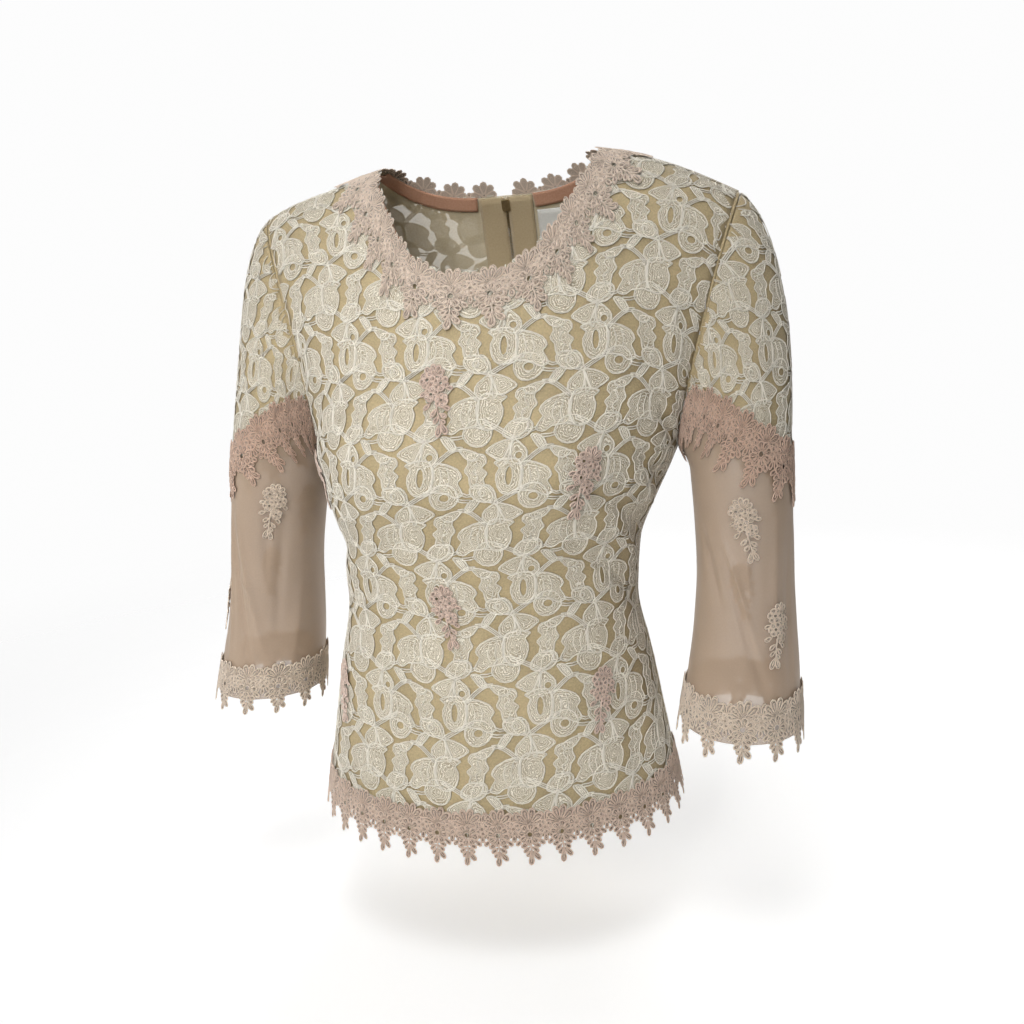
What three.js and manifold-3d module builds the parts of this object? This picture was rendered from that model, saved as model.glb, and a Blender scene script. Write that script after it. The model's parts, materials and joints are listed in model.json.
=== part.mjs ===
// A lace blouse, filled out as if worn, with nobody in it. Millimetres, +Z up.
// The front faces -Y and +X is the wearer's left. The origin lies midway between the two neck
// points, where the shoulders carry the blouse. Every cloth piece is a thin wall: a grid of points
// on the piece's surface, with one skin moved out along the normals and one moved in.
import * as THREE from "three";
import { mergeVertices } from "three/addons/utils/BufferGeometryUtils.js";
import Module from "manifold-3d";

// Cloth thicknesses and the gaps between sewn pieces.
const LACE_WALL = 1.2;
const LINING_WALL = 1;
const SHEER_WALL = 1;
const TRIM_WALL = 1.6;
const MOTIF_WALL = 1.2;
const SEAM_GAP = 0.3;
const LAID_GAP = 0.5;
const ROUND_GAP = 0.8; // from a sleeve's flat facets to a spray that bends round them
const TRIM_GAP = 0.8;

// Torso rings from the hem to the armpit: share of the way from hem to shoulder seam, height,
// half width, and how far the cloth stands before and behind the side seams.
const TORSO_ROWS = [
  { share: 0, z: -536, half: 161, front: 131, back: 106 },
  { share: 0.1, z: -488, half: 152, front: 125, back: 103 },
  { share: 0.2, z: -430, half: 142, front: 113, back: 94 },
  { share: 0.3, z: -372, half: 131, front: 106, back: 84 },
  { share: 0.4, z: -325, half: 132, front: 111, back: 84 },
  { share: 0.48, z: -290, half: 142, front: 117, back: 90 },
  { share: 0.56, z: -262, half: 152, front: 122, back: 95 },
  { share: 0.62, z: -240, half: 159, front: 121, back: 98 },
];
const ARMPIT = TORSO_ROWS[TORSO_ROWS.length - 1];
const RING_POWER = 0.85; // under 1 rounds a ring out towards a rectangle
const HEM_DIP = { front: 10, back: 4 }; // how much lower the hem hangs at the middle

// Armhole, shoulder and neck.
const SHOULDER = { x: 203, y: 5, z: -35 }; // top of the armhole
const ARMHOLE_REACH = { front: 46, back: 44 };
const ARMHOLE_FLARE = 1.6; // keeps the lower armhole close to the chest
const NECK_ROOF = 12; // height that the shoulder lines would meet at
const RISE_POWER = 1.15;
const LEAN_POWER = 0.9;
const RIDGE_POWER = 1.6; // how the shoulder line falls from neck to shoulder
const CHEST_TURN = 38; // degrees by which a ring opens between armpit and shoulder
const CHEST_TURN_RATE = 1.6;
const BUST = { depth: 14, x: 72, z: -252, width: 48, height: 55 };
const NECK_ACROSS = 0.402; // neck point, as a share of the shoulder line
const NECK_POWER = 0.85; // under 1 rounds the neck opening out towards a rectangle
const NECK_LOW = { front: 0.43, back: 0.7 }; // lowest point of the neck, as a share of armpit to roof

// The hips sway to the wearer's right and the left shoulder hangs a little low.
const SWAY = { from: 110, to: 390, reach: 22 };
const SHOULDER_TILT = { slope: 0.03, from: 120, to: 200 };

// Sleeve rings below the armpit, for the left sleeve: share of the way down to the cuff, height,
// middle, and half sizes across and fore and aft.
const SLEEVE_ROWS = [
  { share: 0, z: -262, x: 209, across: 42, deep: 57 },
  { share: 0.18, z: -300, x: 212, across: 41, deep: 56 },
  { share: 0.4, z: -345, x: 214, across: 40, deep: 55 },
  { share: 0.59, z: -385, x: 215, across: 42, deep: 55 },
  { share: 0.78, z: -425, x: 216, across: 46, deep: 56 },
  { share: 1, z: -470, x: 217, across: 50, deep: 57 },
];
const SLEEVE_FORWARD = { top: -6, left: -34, right: 10 }; // y of the middle at the top and at each cuff
// How far each sleeve swings out at the armpit and at the cuff, and how little its middle sways.
const SLEEVE_SPLAY = { left: { top: 3, cuff: 0 }, right: { top: -8, cuff: 13 } };
const SLEEVE_LAG = 6;
// How many degrees below level the sleeve leaves the armhole, and how full its curve is.
const CAP = { topDip: 32, underDip: 70, leave: 0.2, arrive: 0.3 };
// Where the lace sleeve ends, by angle round the sleeve from the underarm: share from armhole to
// the first sleeve ring.
const SLEEVE_SEAM = [
  { angle: 0, share: 0.3 },
  { angle: 20, share: 0.22 },
  { angle: 45, share: 0.18 },
  { angle: 60, share: 0.38 },
  { angle: 75, share: 0.6 },
  { angle: 90, share: 0.76 },
  { angle: 120, share: 0.9 },
  { angle: 150, share: 0.97 },
  { angle: 180, share: 1 },
];

// Grids: how many cells each piece has.
const ACROSS_CELLS = 20; // from side seam to side seam
const ARMHOLE_CELLS = 7; // from armpit to shoulder
const YOKE_CELLS = 5; // from the armpit line or the armhole in to the neck edge
const SLEEVE_CELLS = 2 * ARMHOLE_CELLS; // so that a sleeve meets its armhole point for point
const CAP_ROWS = 5;
const SHEER_ROWS = 7;

// Trims: flower bands and the reach of the sprigs that hang from them.
const HEM_TRIM = { above: 26, below: 22 };
const CUFF_TRIM = { above: 42, below: 16 };
const SLEEVE_TRIM = { above: 24, below: 24 };
const NECK_TRIM = { front: 40, back: 32, stands: 12, overhang: 1.5, start: 0.42 };
const BINDING = { width: 12, wall: 1, start: 2.5, bow: 0.5 };

// The zip lies inside the slit of the back. Its slider and pull tab have their own frame: x across,
// n out from the cloth and d down it, with the pull tab's axis at n = axis.
const ZIP = { slit: 0.3, flare: 1.2, bottom: 0.3, bow: 0.6 };
const TAPE = { inner: 3.8, outer: 24.5, wall: 1, topGap: 1.5 };
const CHAIN = { half: 2.5, under: 2.2, thick: 1.8, below: 6.2 };
const SLIDER_DOWN = 9; // from the neck edge to the pull tab's axis, along the slit
const SLIDER_BLOCKS = [
  { part: "body", half: 3.4, n: [-4.6, -1.8], d: [-4.5, 5.5] },
  { part: "neck", half: 0.6, n: [-2.8, 1], d: [-4, 0] },
  { part: "plate", half: 2.2, n: [0.6, 1.2], d: [-4, 4] },
  { part: "upper post", half: 0.9, n: [1, 4], d: [-3.4, -2.2] },
  { part: "lower post", half: 0.9, n: [1, 4], d: [2.2, 3.4] },
  { part: "bridge", half: 0.9, n: [3.4, 4.4], d: [-3.4, 3.4] },
];
const TAB = { axis: 2.3, bar: 0.6, eye: 1.5, eyeEnd: 4.4, half: 2.9, wide: 3.5, length: 24, hole: 1.1 };
const LABEL = { from: 28, to: 56, top: -34, bottom: -66, wall: 1, bow: 1.1 };

// Flower sprays: where each lies on a panel's grid, in cells of columns and rows, or on a sleeve, by
// its angle from the underarm over the front, in degrees, and how far down it lies.
const SPRAYS = {
  front: [
    { grid: "yoke", columns: [14.9, 16.6], rows: [1.1, 2.5] },
    { grid: "body", columns: [13.4, 14.8], rows: [5.2, 6.9] },
    { grid: "body", columns: [8.5, 10.1], rows: [2.6, 3.6] },
    { grid: "body", columns: [14.5, 15.9], rows: [1.35, 2.2] },
    { grid: "body", columns: [1.5, 2.9], rows: [5.3, 6.9] },
    { grid: "body", columns: [2.9, 4.3], rows: [1.3, 2.2] },
  ],
  backLeft: [
    { grid: "body", columns: [2.2, 3.6], rows: [5.2, 6.8] },
    { grid: "body", columns: [5.2, 6.6], rows: [2.7, 3.7] },
    { grid: "body", columns: [2.6, 4], rows: [1.1, 1.95] },
  ],
  backRight: [
    { grid: "body", columns: [3.4, 4.8], rows: [5.1, 6.7] },
    { grid: "body", columns: [6.6, 8], rows: [3.1, 4.2] },
    { grid: "body", columns: [4.3, 5.7], rows: [1.2, 2.05] },
  ],
  sleeveLeft: [
    { angle: [78, 106], down: [1.08, 1.29] },
    { angle: [109, 137], down: [1.49, 1.7] },
    { angle: [205, 233], down: [1.14, 1.35] },
    { angle: [256, 284], down: [1.45, 1.66] },
  ],
  sleeveRight: [
    { angle: [54, 82], down: [1.03, 1.24] },
    { angle: [142, 170], down: [1.49, 1.7] },
    { angle: [216, 244], down: [1.42, 1.63] },
    { angle: [262, 290], down: [1.12, 1.33] },
  ],
};

const DEGREE = Math.PI / 180;
const clamp = (value, low, high) => Math.min(Math.max(value, low), high);
const mix = (a, b, share) => a + (b - a) * share;
const ease = (value, low, high) => {
  const x = clamp((value - low) / (high - low), 0, 1);
  return x * x * (3 - 2 * x);
};

// Reads a table column at any key, on a smooth curve that never overshoots its rows.
function read(rows, key, column, at) {
  const last = rows.length - 1;
  const x = clamp(at, rows[0][key], rows[last][key]);
  const slope = (i) => (rows[i + 1][column] - rows[i][column]) / (rows[i + 1][key] - rows[i][key]);
  const tangent = (i) => {
    if (i === 0) return slope(0);
    if (i === last) return slope(last - 1);
    const before = slope(i - 1);
    const after = slope(i);
    if (before * after <= 0) return 0;
    const wide = rows[i + 1][key] - rows[i][key];
    const narrow = rows[i][key] - rows[i - 1][key];
    const first = 2 * wide + narrow;
    const second = wide + 2 * narrow;
    return (first + second) / (first / before + second / after);
  };
  let i = 0;
  while (i < last - 1 && x >= rows[i + 1][key]) i += 1;
  const span = rows[i + 1][key] - rows[i][key];
  const u = (x - rows[i][key]) / span;
  return (
    (1 + 2 * u) * (1 - u) ** 2 * rows[i][column] +
    u * (1 - u) ** 2 * span * tangent(i) +
    u * u * (3 - 2 * u) * rows[i + 1][column] +
    u * u * (u - 1) * span * tangent(i + 1)
  );
}

// Gives a point of the even form its sway and its shoulder tilt.
function stance(x, y, z) {
  const sway = SWAY.reach * ease(-z, SWAY.from, SWAY.to);
  const tilt = SHOULDER_TILT.slope * x * ease(Math.abs(x), SHOULDER_TILT.from, SHOULDER_TILT.to);
  return new THREE.Vector3(x - sway, y, z - tilt);
}

// The armhole of the even form at an angle from the underarm (0) over the front (90) to the top.
function armhole(angle) {
  const up = (1 - Math.cos(angle)) / 2;
  const reach = Math.sin(angle) > 0 ? -ARMHOLE_REACH.front : ARMHOLE_REACH.back;
  return {
    x: mix(ARMPIT.half, SHOULDER.x, up ** ARMHOLE_FLARE),
    y: reach * Math.abs(Math.sin(angle)) + SHOULDER.y * up,
    z: mix(ARMPIT.z, SHOULDER.z, up),
  };
}

// A point of the front or the back: across runs from -1 (right) to 1, share from hem to shoulder.
function torsoPoint(side, across, share) {
  const sign = side === "front" ? -1 : 1;
  const low = Math.min(share, ARMPIT.share);
  const depth = sign * read(TORSO_ROWS, "share", side, low);
  const up = clamp((share - ARMPIT.share) / (1 - ARMPIT.share), 0, 1);
  let edge;
  let middle;
  if (up > 0) {
    const arm = armhole(up * Math.PI);
    edge = { x: arm.x, y: side === "front" ? arm.y : armhole(-up * Math.PI).y, z: arm.z };
    middle = {
      y: SHOULDER.y + (depth - SHOULDER.y) * Math.max(0, Math.cos((up * Math.PI) / 2)) ** LEAN_POWER,
      z: mix(ARMPIT.z, NECK_ROOF, Math.sin((up * Math.PI) / 2) ** RISE_POWER),
    };
  } else {
    const z = read(TORSO_ROWS, "share", "z", low);
    const dip = HEM_DIP[side] * (1 - across * across) * (1 - ease(share, 0, 0.1));
    edge = { x: read(TORSO_ROWS, "share", "half", low), y: 0, z: z - dip };
    middle = { y: depth, z: z - dip };
  }
  const turn = (90 - CHEST_TURN * Math.min(1, up * CHEST_TURN_RATE)) * DEGREE;
  const bow = clamp((Math.cos(across * turn) - Math.cos(turn)) / (1 - Math.cos(turn)), 0, 1);
  const round = bow ** RING_POWER;
  const x = (edge.x * Math.sin(across * turn)) / Math.sin(turn);
  const z = middle.z + (edge.z - middle.z) * Math.abs(across) ** RIDGE_POWER;
  let y = edge.y + (middle.y - edge.y) * round;
  if (side === "front") {
    const swell = (centre) =>
      Math.exp(-(((x - centre) / BUST.width) ** 2) - ((z - BUST.z) / BUST.height) ** 2);
    y -= BUST.depth * (swell(BUST.x) + swell(-BUST.x)) * Math.min(1, round * 1.5);
  }
  return stance(x, y, z);
}

// The outward normal of a surface given by a function of two numbers.
function normalAt(surface, u, v, outward) {
  const step = 1e-3;
  const du = surface(u + step, v).sub(surface(u - step, v));
  const dv = surface(u, v + step).sub(surface(u, v - step));
  return du.cross(dv).normalize().multiplyScalar(outward);
}
const torsoNormal = (side, across, share) =>
  normalAt(
    (u, v) => torsoPoint(side, u, v),
    clamp(across, -0.995, 0.995),
    clamp(share, 0.002, 0.994),
    side === "front" ? 1 : -1,
  );

// A point of a sleeve: angle from the underarm over the front, down from 0 at the armhole through 1
// at the first sleeve ring to 2 at the cuff.
function sleevePoint(side, angle, down) {
  const way = side === "left" ? 1 : -1;
  const ring = (share) => {
    const splay = mix(SLEEVE_SPLAY[side].top, SLEEVE_SPLAY[side].cuff, share);
    const lag = way * SLEEVE_LAG * Math.sin(Math.PI * share);
    const get = (column) => read(SLEEVE_ROWS, "share", column, share);
    const forward = mix(SLEEVE_FORWARD.top, SLEEVE_FORWARD[side], share);
    return new THREE.Vector3(
      get("x") + splay + lag - get("across") * Math.cos(angle),
      forward - get("deep") * Math.sin(angle),
      get("z"),
    );
  };
  let point;
  if (down >= 1) {
    point = ring(down - 1);
  } else {
    const hole = armhole(angle);
    const start = new THREE.Vector3(hole.x, hole.y, hole.z);
    const end = ring(0);
    const length = start.distanceTo(end);
    const dip = mix(CAP.topDip, CAP.underDip, (1 + Math.cos(angle)) / 2) * DEGREE;
    const outward = new THREE.Vector3(Math.cos(dip), 0, -Math.sin(dip));
    const leave = start.clone().addScaledVector(outward, CAP.leave * length);
    const below = ring(0.02).sub(end).normalize();
    const arrive = end.clone().addScaledVector(below, -CAP.arrive * length);
    point = new THREE.CubicBezierCurve3(start, leave, arrive, end).getPoint(Math.max(0, down));
  }
  return stance(way * point.x, point.y, point.z);
}
function sleeveNormal(side, angle, down) {
  const outward = side === "left" ? -1 : 1;
  const own = normalAt((u, v) => sleevePoint(side, u, v), angle, clamp(down, 0.01, 1.995), outward);
  const up = (1 - Math.cos(angle)) / 2;
  const shared = ease(up, 0.02, 0.25) * (1 - ease(down, 0, 0.25));
  if (shared === 0) return own;
  const panel = Math.sin(angle) >= 0 ? "front" : "back";
  const across = side === "left" ? 1 : -1;
  const share = mix(ARMPIT.share, 1, Math.acos(Math.cos(angle)) / Math.PI);
  return own.lerp(torsoNormal(panel, across, share), shared).normalize();
}
// How far down a sleeve a point lies after a walk along the cloth from another.
function walkSleeve(side, angle, down, distance) {
  const steps = 12;
  const probe = 0.01;
  let at = down;
  for (let i = 0; i < steps; i += 1) {
    const here = sleevePoint(side, angle, at);
    const length = sleevePoint(side, angle, at + probe).distanceTo(here) / probe;
    at += distance / steps / Math.max(length, 1);
  }
  return at;
}
const seamShare = (angle) => read(SLEEVE_SEAM, "angle", "share", Math.acos(Math.cos(angle)) / DEGREE);

// A grid of surface points and normals, one list of columns for each row.
function makeGrid(rows, columns, pointOf, normalOf) {
  const points = [];
  const normals = [];
  for (let r = 0; r < rows; r += 1) {
    points.push([]);
    normals.push([]);
    for (let c = 0; c < columns; c += 1) {
      points[r].push(pointOf(r, c));
      normals[r].push(normalOf(r, c));
    }
  }
  return { points, normals };
}

// A grid read at fractional rows and columns of another, so that it lies on the same facets.
function resample(grid, rows, columns, where) {
  const between = (list, row, column) => {
    const r = clamp(Math.floor(row), 0, list.length - 2);
    const c = clamp(Math.floor(column), 0, list[0].length - 2);
    const low = list[r][c].clone().lerp(list[r][c + 1], column - c);
    const high = list[r + 1][c].clone().lerp(list[r + 1][c + 1], column - c);
    return low.lerp(high, row - r);
  };
  return makeGrid(
    rows,
    columns,
    (r, c) => between(grid.points, ...where(r, c)),
    (r, c) => between(grid.normals, ...where(r, c)).normalize(),
  );
}

// A patch of a grid between two columns and two rows, which may fall inside cells. It keeps the
// grid lines that it crosses.
function patch(grid, column0, column1, row0, row1) {
  const lines = (from, to) => {
    const inside = [];
    for (let i = Math.ceil(from + 1e-6); i < to - 1e-6; i += 1) inside.push(i);
    return [from, ...inside, to];
  };
  const columnsAt = lines(column0, column1);
  const rowsAt = lines(row0, row1);
  return resample(grid, rowsAt.length, columnsAt.length, (r, c) => [rowsAt[r], columnsAt[c]]);
}

// The closed wall between two skins of one or more grids, moved out by outer and by inner along the
// normals. Grids that share points are one sheet, and a grid that runs the other way round is
// marked as turned. A ring's last column joins its first. Each edge that only one cell has gets a rim.
function wall(grids, outer, inner, ring = false) {
  const known = new Map();
  const sheet = [];
  const cells = [];
  const nearest = 1e3; // points within a thousandth of a millimetre are the same
  const indexOf = (point, normal) => {
    const key = point.toArray().map((value) => Math.round(value * nearest)).join();
    if (!known.has(key)) {
      known.set(key, sheet.length);
      sheet.push({ point, normal });
    }
    return known.get(key);
  };
  for (const grid of [grids].flat()) {
    const at = grid.points.map((row, r) => row.map((point, c) => indexOf(point, grid.normals[r][c])));
    const columns = at[0].length;
    for (let r = 0; r < at.length - 1; r += 1)
      for (let c = 0; c < (ring ? columns : columns - 1); c += 1) {
        const next = (c + 1) % columns;
        const cell = [at[r][c], at[r][next], at[r + 1][next], at[r + 1][c]];
        cells.push(grid.turned ? [cell[0], cell[3], cell[2], cell[1]] : cell);
      }
  }
  const place = [];
  for (const offset of [outer, inner])
    for (const { point, normal } of sheet)
      place.push(...point.clone().addScaledVector(normal, offset));
  const skin = sheet.length;
  const faces = [];
  const quad = (a, b, c, d) => faces.push(a, b, c, a, c, d);
  const edges = new Map();
  for (const [a, b, c, d] of cells) {
    quad(a, b, c, d);
    quad(skin + a, skin + d, skin + c, skin + b);
    for (const [from, to] of [[a, b], [b, c], [c, d], [d, a]])
      if (!edges.delete(to + " " + from)) edges.set(from + " " + to, [from, to]);
  }
  for (const [from, to] of edges.values()) quad(to, from, skin + from, skin + to);
  return facingOut(place, faces);
}

// A geometry whose faces point outwards, whichever way round its list ran.
function facingOut(place, faces) {
  const vertex = (i) => new THREE.Vector3().fromArray(place, 3 * i);
  let volume = 0;
  for (let i = 0; i < faces.length; i += 3)
    volume += vertex(faces[i]).dot(vertex(faces[i + 1]).cross(vertex(faces[i + 2])));
  const geometry = new THREE.BufferGeometry();
  geometry.setAttribute("position", new THREE.Float32BufferAttribute(place, 3));
  geometry.setIndex(volume < 0 ? faces.reverse() : faces);
  geometry.computeVertexNormals();
  return geometry;
}

const blouse = new THREE.Group();
function addPiece(name, geometry, finish) {
  const mesh = new THREE.Mesh(geometry, new THREE.MeshStandardMaterial(finish));
  mesh.name = name;
  blouse.add(mesh);
}
const LACE_FINISH = { color: 0xb9ad98, roughness: 0.85, metalness: 0 };
const LINING_FINISH = { color: 0xb5a582, roughness: 0.6, metalness: 0 };
const SHEER_FINISH = { ...LINING_FINISH, color: 0x97856f, transparent: true, opacity: 0.6 };
const TRIM_FINISH = { color: 0xc8b3a0, roughness: 0.9, metalness: 0 };
const BINDING_FINISH = { color: 0x88664f, roughness: 0.8, metalness: 0 };
const TAPE_FINISH = { color: 0x938568, roughness: 0.8, metalness: 0 };
const METAL_FINISH = { color: 0xa08f6e, roughness: 0.35, metalness: 1 };
const LABEL_FINISH = { color: 0xcfcac0, roughness: 0.7, metalness: 0 };

// A panel has two grids: the body, from the hem to the armpit line, and the yoke, which bends round
// the neck. A yoke column starts on the outer edge, shoulder tip, armhole, armpit line and up again,
// and ends on the neck edge. Shoulder seams are the yoke's first and last columns.
const SEAM_ACROSS = 0.9997; // leaves the gap at a side seam
const SEAM_SHARE = 0.9996; // leaves the gap at a shoulder seam
const YOKE_COLUMNS = ACROSS_CELLS + 2 * ARMHOLE_CELLS;
const BODY_SHARES = TORSO_ROWS.map((row) => row.share);

// Across and share of a yoke column's foot and of its head on the neck edge.
function yokeFoot(column) {
  const fromMiddle = Math.abs(column - YOKE_COLUMNS / 2) - ACROSS_CELLS / 2;
  if (fromMiddle <= 0) {
    return { across: mix(-1, 1, (column - ARMHOLE_CELLS) / ACROSS_CELLS), share: ARMPIT.share };
  }
  return {
    across: Math.sign(column - YOKE_COLUMNS / 2),
    share: mix(ARMPIT.share, 1, fromMiddle / ARMHOLE_CELLS),
  };
}
function yokeHead(side, column) {
  const angle = (column / YOKE_COLUMNS - 0.5) * Math.PI;
  const bend = (value) => Math.max(0, value) ** NECK_POWER;
  return {
    across: NECK_ACROSS * Math.sign(angle) * bend(Math.abs(Math.sin(angle))),
    share: mix(ARMPIT.share, 1, 1 - (1 - NECK_LOW[side]) * bend(Math.cos(angle))),
  };
}
function yokeAt(side, column, row) {
  const foot = yokeFoot(column);
  const head = yokeHead(side, column);
  const up = row / YOKE_CELLS;
  return {
    across: clamp(mix(foot.across, head.across, up), -SEAM_ACROSS, SEAM_ACROSS),
    share: Math.min(mix(foot.share, head.share, up), SEAM_SHARE),
  };
}
function panelGrids(side, firstColumn, lastColumn) {
  const grid = (rows, from, columns, where) => {
    const at = (r, c) => where(from + c, r);
    return makeGrid(
      rows,
      columns,
      (r, c) => torsoPoint(side, at(r, c).across, at(r, c).share),
      (r, c) => torsoNormal(side, at(r, c).across, at(r, c).share),
    );
  };
  const inBody = (c, r) => ({
    across: clamp(yokeFoot(c).across, -SEAM_ACROSS, SEAM_ACROSS),
    share: BODY_SHARES[r],
  });
  const bodyFirst = Math.max(firstColumn, ARMHOLE_CELLS);
  const bodyLast = Math.min(lastColumn, YOKE_COLUMNS - ARMHOLE_CELLS);
  return {
    body: grid(BODY_SHARES.length, bodyFirst, bodyLast - bodyFirst + 1, inBody),
    yoke: grid(YOKE_CELLS + 1, firstColumn, lastColumn - firstColumn + 1, (c, r) => yokeAt(side, c, r)),
  };
}

// Front: a lace panel with its lining just inside it.
const MIDDLE = YOKE_COLUMNS / 2;
const front = panelGrids("front", 0, YOKE_COLUMNS);
const LINING_OUT = -LACE_WALL - SEAM_GAP;
addPiece("front_lace", wall([front.body, front.yoke], 0, -LACE_WALL), LACE_FINISH);
addPiece(
  "front_lining",
  wall([front.body, front.yoke], LINING_OUT, LINING_OUT - LINING_WALL),
  LINING_FINISH,
);

// Back: two unlined lace halves that meet at the zip, where the slit opens a little at the top.
const backs = {
  right: panelGrids("back", 0, MIDDLE),
  left: panelGrids("back", MIDDLE, YOKE_COLUMNS),
};
for (const half of ["left", "right"]) {
  const { body, yoke } = backs[half];
  const way = half === "left" ? 1 : -1;
  const middleOf = (row) => (half === "left" ? row[0] : row[row.length - 1]);
  for (const row of body.points) middleOf(row).x += way * ZIP.slit;
  yoke.points.forEach((row, r) => {
    middleOf(row).x += way * (ZIP.slit + ZIP.flare * Math.max(0, r - YOKE_CELLS + 1));
  });
  addPiece("back_lace_" + half, wall([body, yoke], 0, -LACE_WALL), LACE_FINISH);
}

// Sleeves: a lined lace cap down to a slanting seam, and a sheer lower sleeve.
const SLEEVE_START = 0.6; // from the armhole seam to the sleeve's edge
const SLEEVE_LINING_START = 4;
const UNDERARM_CLEAR = 9; // from the armhole to the trim where the sleeve lies close to the body
function sleeveGrid(side, rows, from, to) {
  const angleAt = (c) => (c / SLEEVE_CELLS) * 2 * Math.PI;
  const downAt = (r, c) => mix(from(angleAt(c)), to(angleAt(c)), r / (rows - 1));
  return makeGrid(
    rows,
    SLEEVE_CELLS,
    (r, c) => sleevePoint(side, angleAt(c), downAt(r, c)),
    (r, c) => sleeveNormal(side, angleAt(c), downAt(r, c)),
  );
}
const walk = (side, distance) => (angle) => walkSleeve(side, angle, seamShare(angle), distance);
for (const side of ["left", "right"]) {
  const cap = sleeveGrid(
    side,
    CAP_ROWS + 1,
    (angle) => walkSleeve(side, angle, 0, SLEEVE_START),
    walk(side, -SEAM_GAP / 2),
  );
  const sheer = sleeveGrid(side, SHEER_ROWS + 1, walk(side, SEAM_GAP / 2), () => 2);
  addPiece("sleeve_lace_" + side, wall(cap, 0, -LACE_WALL, true), LACE_FINISH);
  const lining = resample(cap, CAP_ROWS + 1, SLEEVE_CELLS, (r, c) => {
    const cell = cap.points[0][c].distanceTo(cap.points[1][c]);
    return [r === 0 ? Math.min(0.9, SLEEVE_LINING_START / cell) : r, c];
  });
  addPiece("sleeve_lining_" + side, wall(lining, LINING_OUT, LINING_OUT - LINING_WALL, true), LINING_FINISH);
  addPiece("sleeve_sheer_" + side, wall(sheer, 0, -SHEER_WALL, true), SHEER_FINISH);
  const clear = (angle) => 2 + (UNDERARM_CLEAR - 2) * ((1 + Math.cos(angle)) / 2) ** 4;
  const top = (angle) =>
    Math.max(
      walkSleeve(side, angle, 0, clear(angle)),
      walkSleeve(side, angle, seamShare(angle), -SLEEVE_TRIM.above),
    );
  const trim = sleeveGrid(side, 4, top, walk(side, SLEEVE_TRIM.below));
  addPiece("sleeve_trim_" + side, wall(trim, TRIM_GAP + TRIM_WALL, TRIM_GAP, true), TRIM_FINISH);
}

// Cuff and hem trims: a flower band over the edge of the cloth and the reach of the sprigs below it.
function hangBelow(grid, drop) {
  const last = grid.points.length - 1;
  grid.points.push(grid.points[last].map((point) => point.clone().add(new THREE.Vector3(0, 0, -drop))));
  grid.normals.push(grid.normals[last].map((normal) => normal.clone()));
  return grid;
}
for (const side of ["left", "right"]) {
  const top = (angle) => walkSleeve(side, angle, 2, -CUFF_TRIM.above);
  const band = sleeveGrid(side, 3, (angle) => 2 - (2 - top(angle)), () => 2);
  const trim = hangBelow(band, CUFF_TRIM.below);
  addPiece("cuff_trim_" + side, wall(trim, TRIM_GAP + TRIM_WALL, TRIM_GAP, true), TRIM_FINISH);
}
// The hem trim runs round over both panels, on their own columns.
const hemRise = HEM_TRIM.above / (TORSO_ROWS[1].z - TORSO_ROWS[0].z);
const halfCells = ACROSS_CELLS / 2;
const bands = [
  resample(front.body, 2, ACROSS_CELLS + 1, (r, c) => [hemRise * (1 - r), c]),
  resample(backs.left.body, 2, halfCells, (r, c) => [hemRise * (1 - r), halfCells - 1 - c]),
  resample(backs.right.body, 2, halfCells - 1, (r, c) => [hemRise * (1 - r), halfCells - 1 - c]),
];
const joined = (key) => [0, 1].map((r) => bands.flatMap((band) => band[key][r]));
const hemTrim = hangBelow({ points: joined("points"), normals: joined("normals") }, HEM_TRIM.below);
addPiece("hem_trim", wall(hemTrim, TRIM_GAP + TRIM_WALL, TRIM_GAP, true), TRIM_FINISH);

// A strip along a neck edge: its rows lie at set distances from the edge along the yoke's columns,
// minus where they stand above it.
function rowAway(yoke, column, distance) {
  const at = (row) => resample(yoke, 1, 1, () => [row, column]).points[0][0];
  let row = YOKE_CELLS;
  let left = distance;
  if (left < 0) return row - left / at(row).distanceTo(at(row - 1));
  for (;;) {
    const cell = at(row).distanceTo(at(row - 1));
    if (left <= cell) return row - left / cell;
    left -= cell;
    row -= 1;
  }
}
function neckStrip(yoke, columns, distances) {
  return resample(yoke, distances.length, columns.length, (r, c) => [
    distances[r](columns[c], r),
    columns[c],
  ]);
}

// Neck binding: a strip inside each panel, along the neck edge.
const count = (from, to) => Array.from({ length: to - from + 1 }, (_, i) => from + i);
const bindingStarts = Math.ceil(BINDING.start);
const bindings = [
  {
    name: "front",
    yoke: front.yoke,
    columns: count(0, YOKE_COLUMNS),
    under: LACE_WALL + SEAM_GAP + LINING_WALL,
  },
  {
    name: "back_left",
    yoke: backs.left.yoke,
    columns: [BINDING.start, ...count(bindingStarts, MIDDLE)],
    under: LACE_WALL,
  },
  {
    name: "back_right",
    yoke: backs.right.yoke,
    columns: [...count(0, MIDDLE - bindingStarts), MIDDLE - BINDING.start],
    under: LACE_WALL,
  },
];
for (const { name, yoke, columns, under } of bindings) {
  const strip = neckStrip(yoke, columns, [(c) => rowAway(yoke, c, BINDING.width), () => YOKE_CELLS]);
  const out = -under - SEAM_GAP - BINDING.bow;
  addPiece("neck_binding_" + name, wall(strip, out, out - BINDING.wall), BINDING_FINISH);
}

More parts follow.
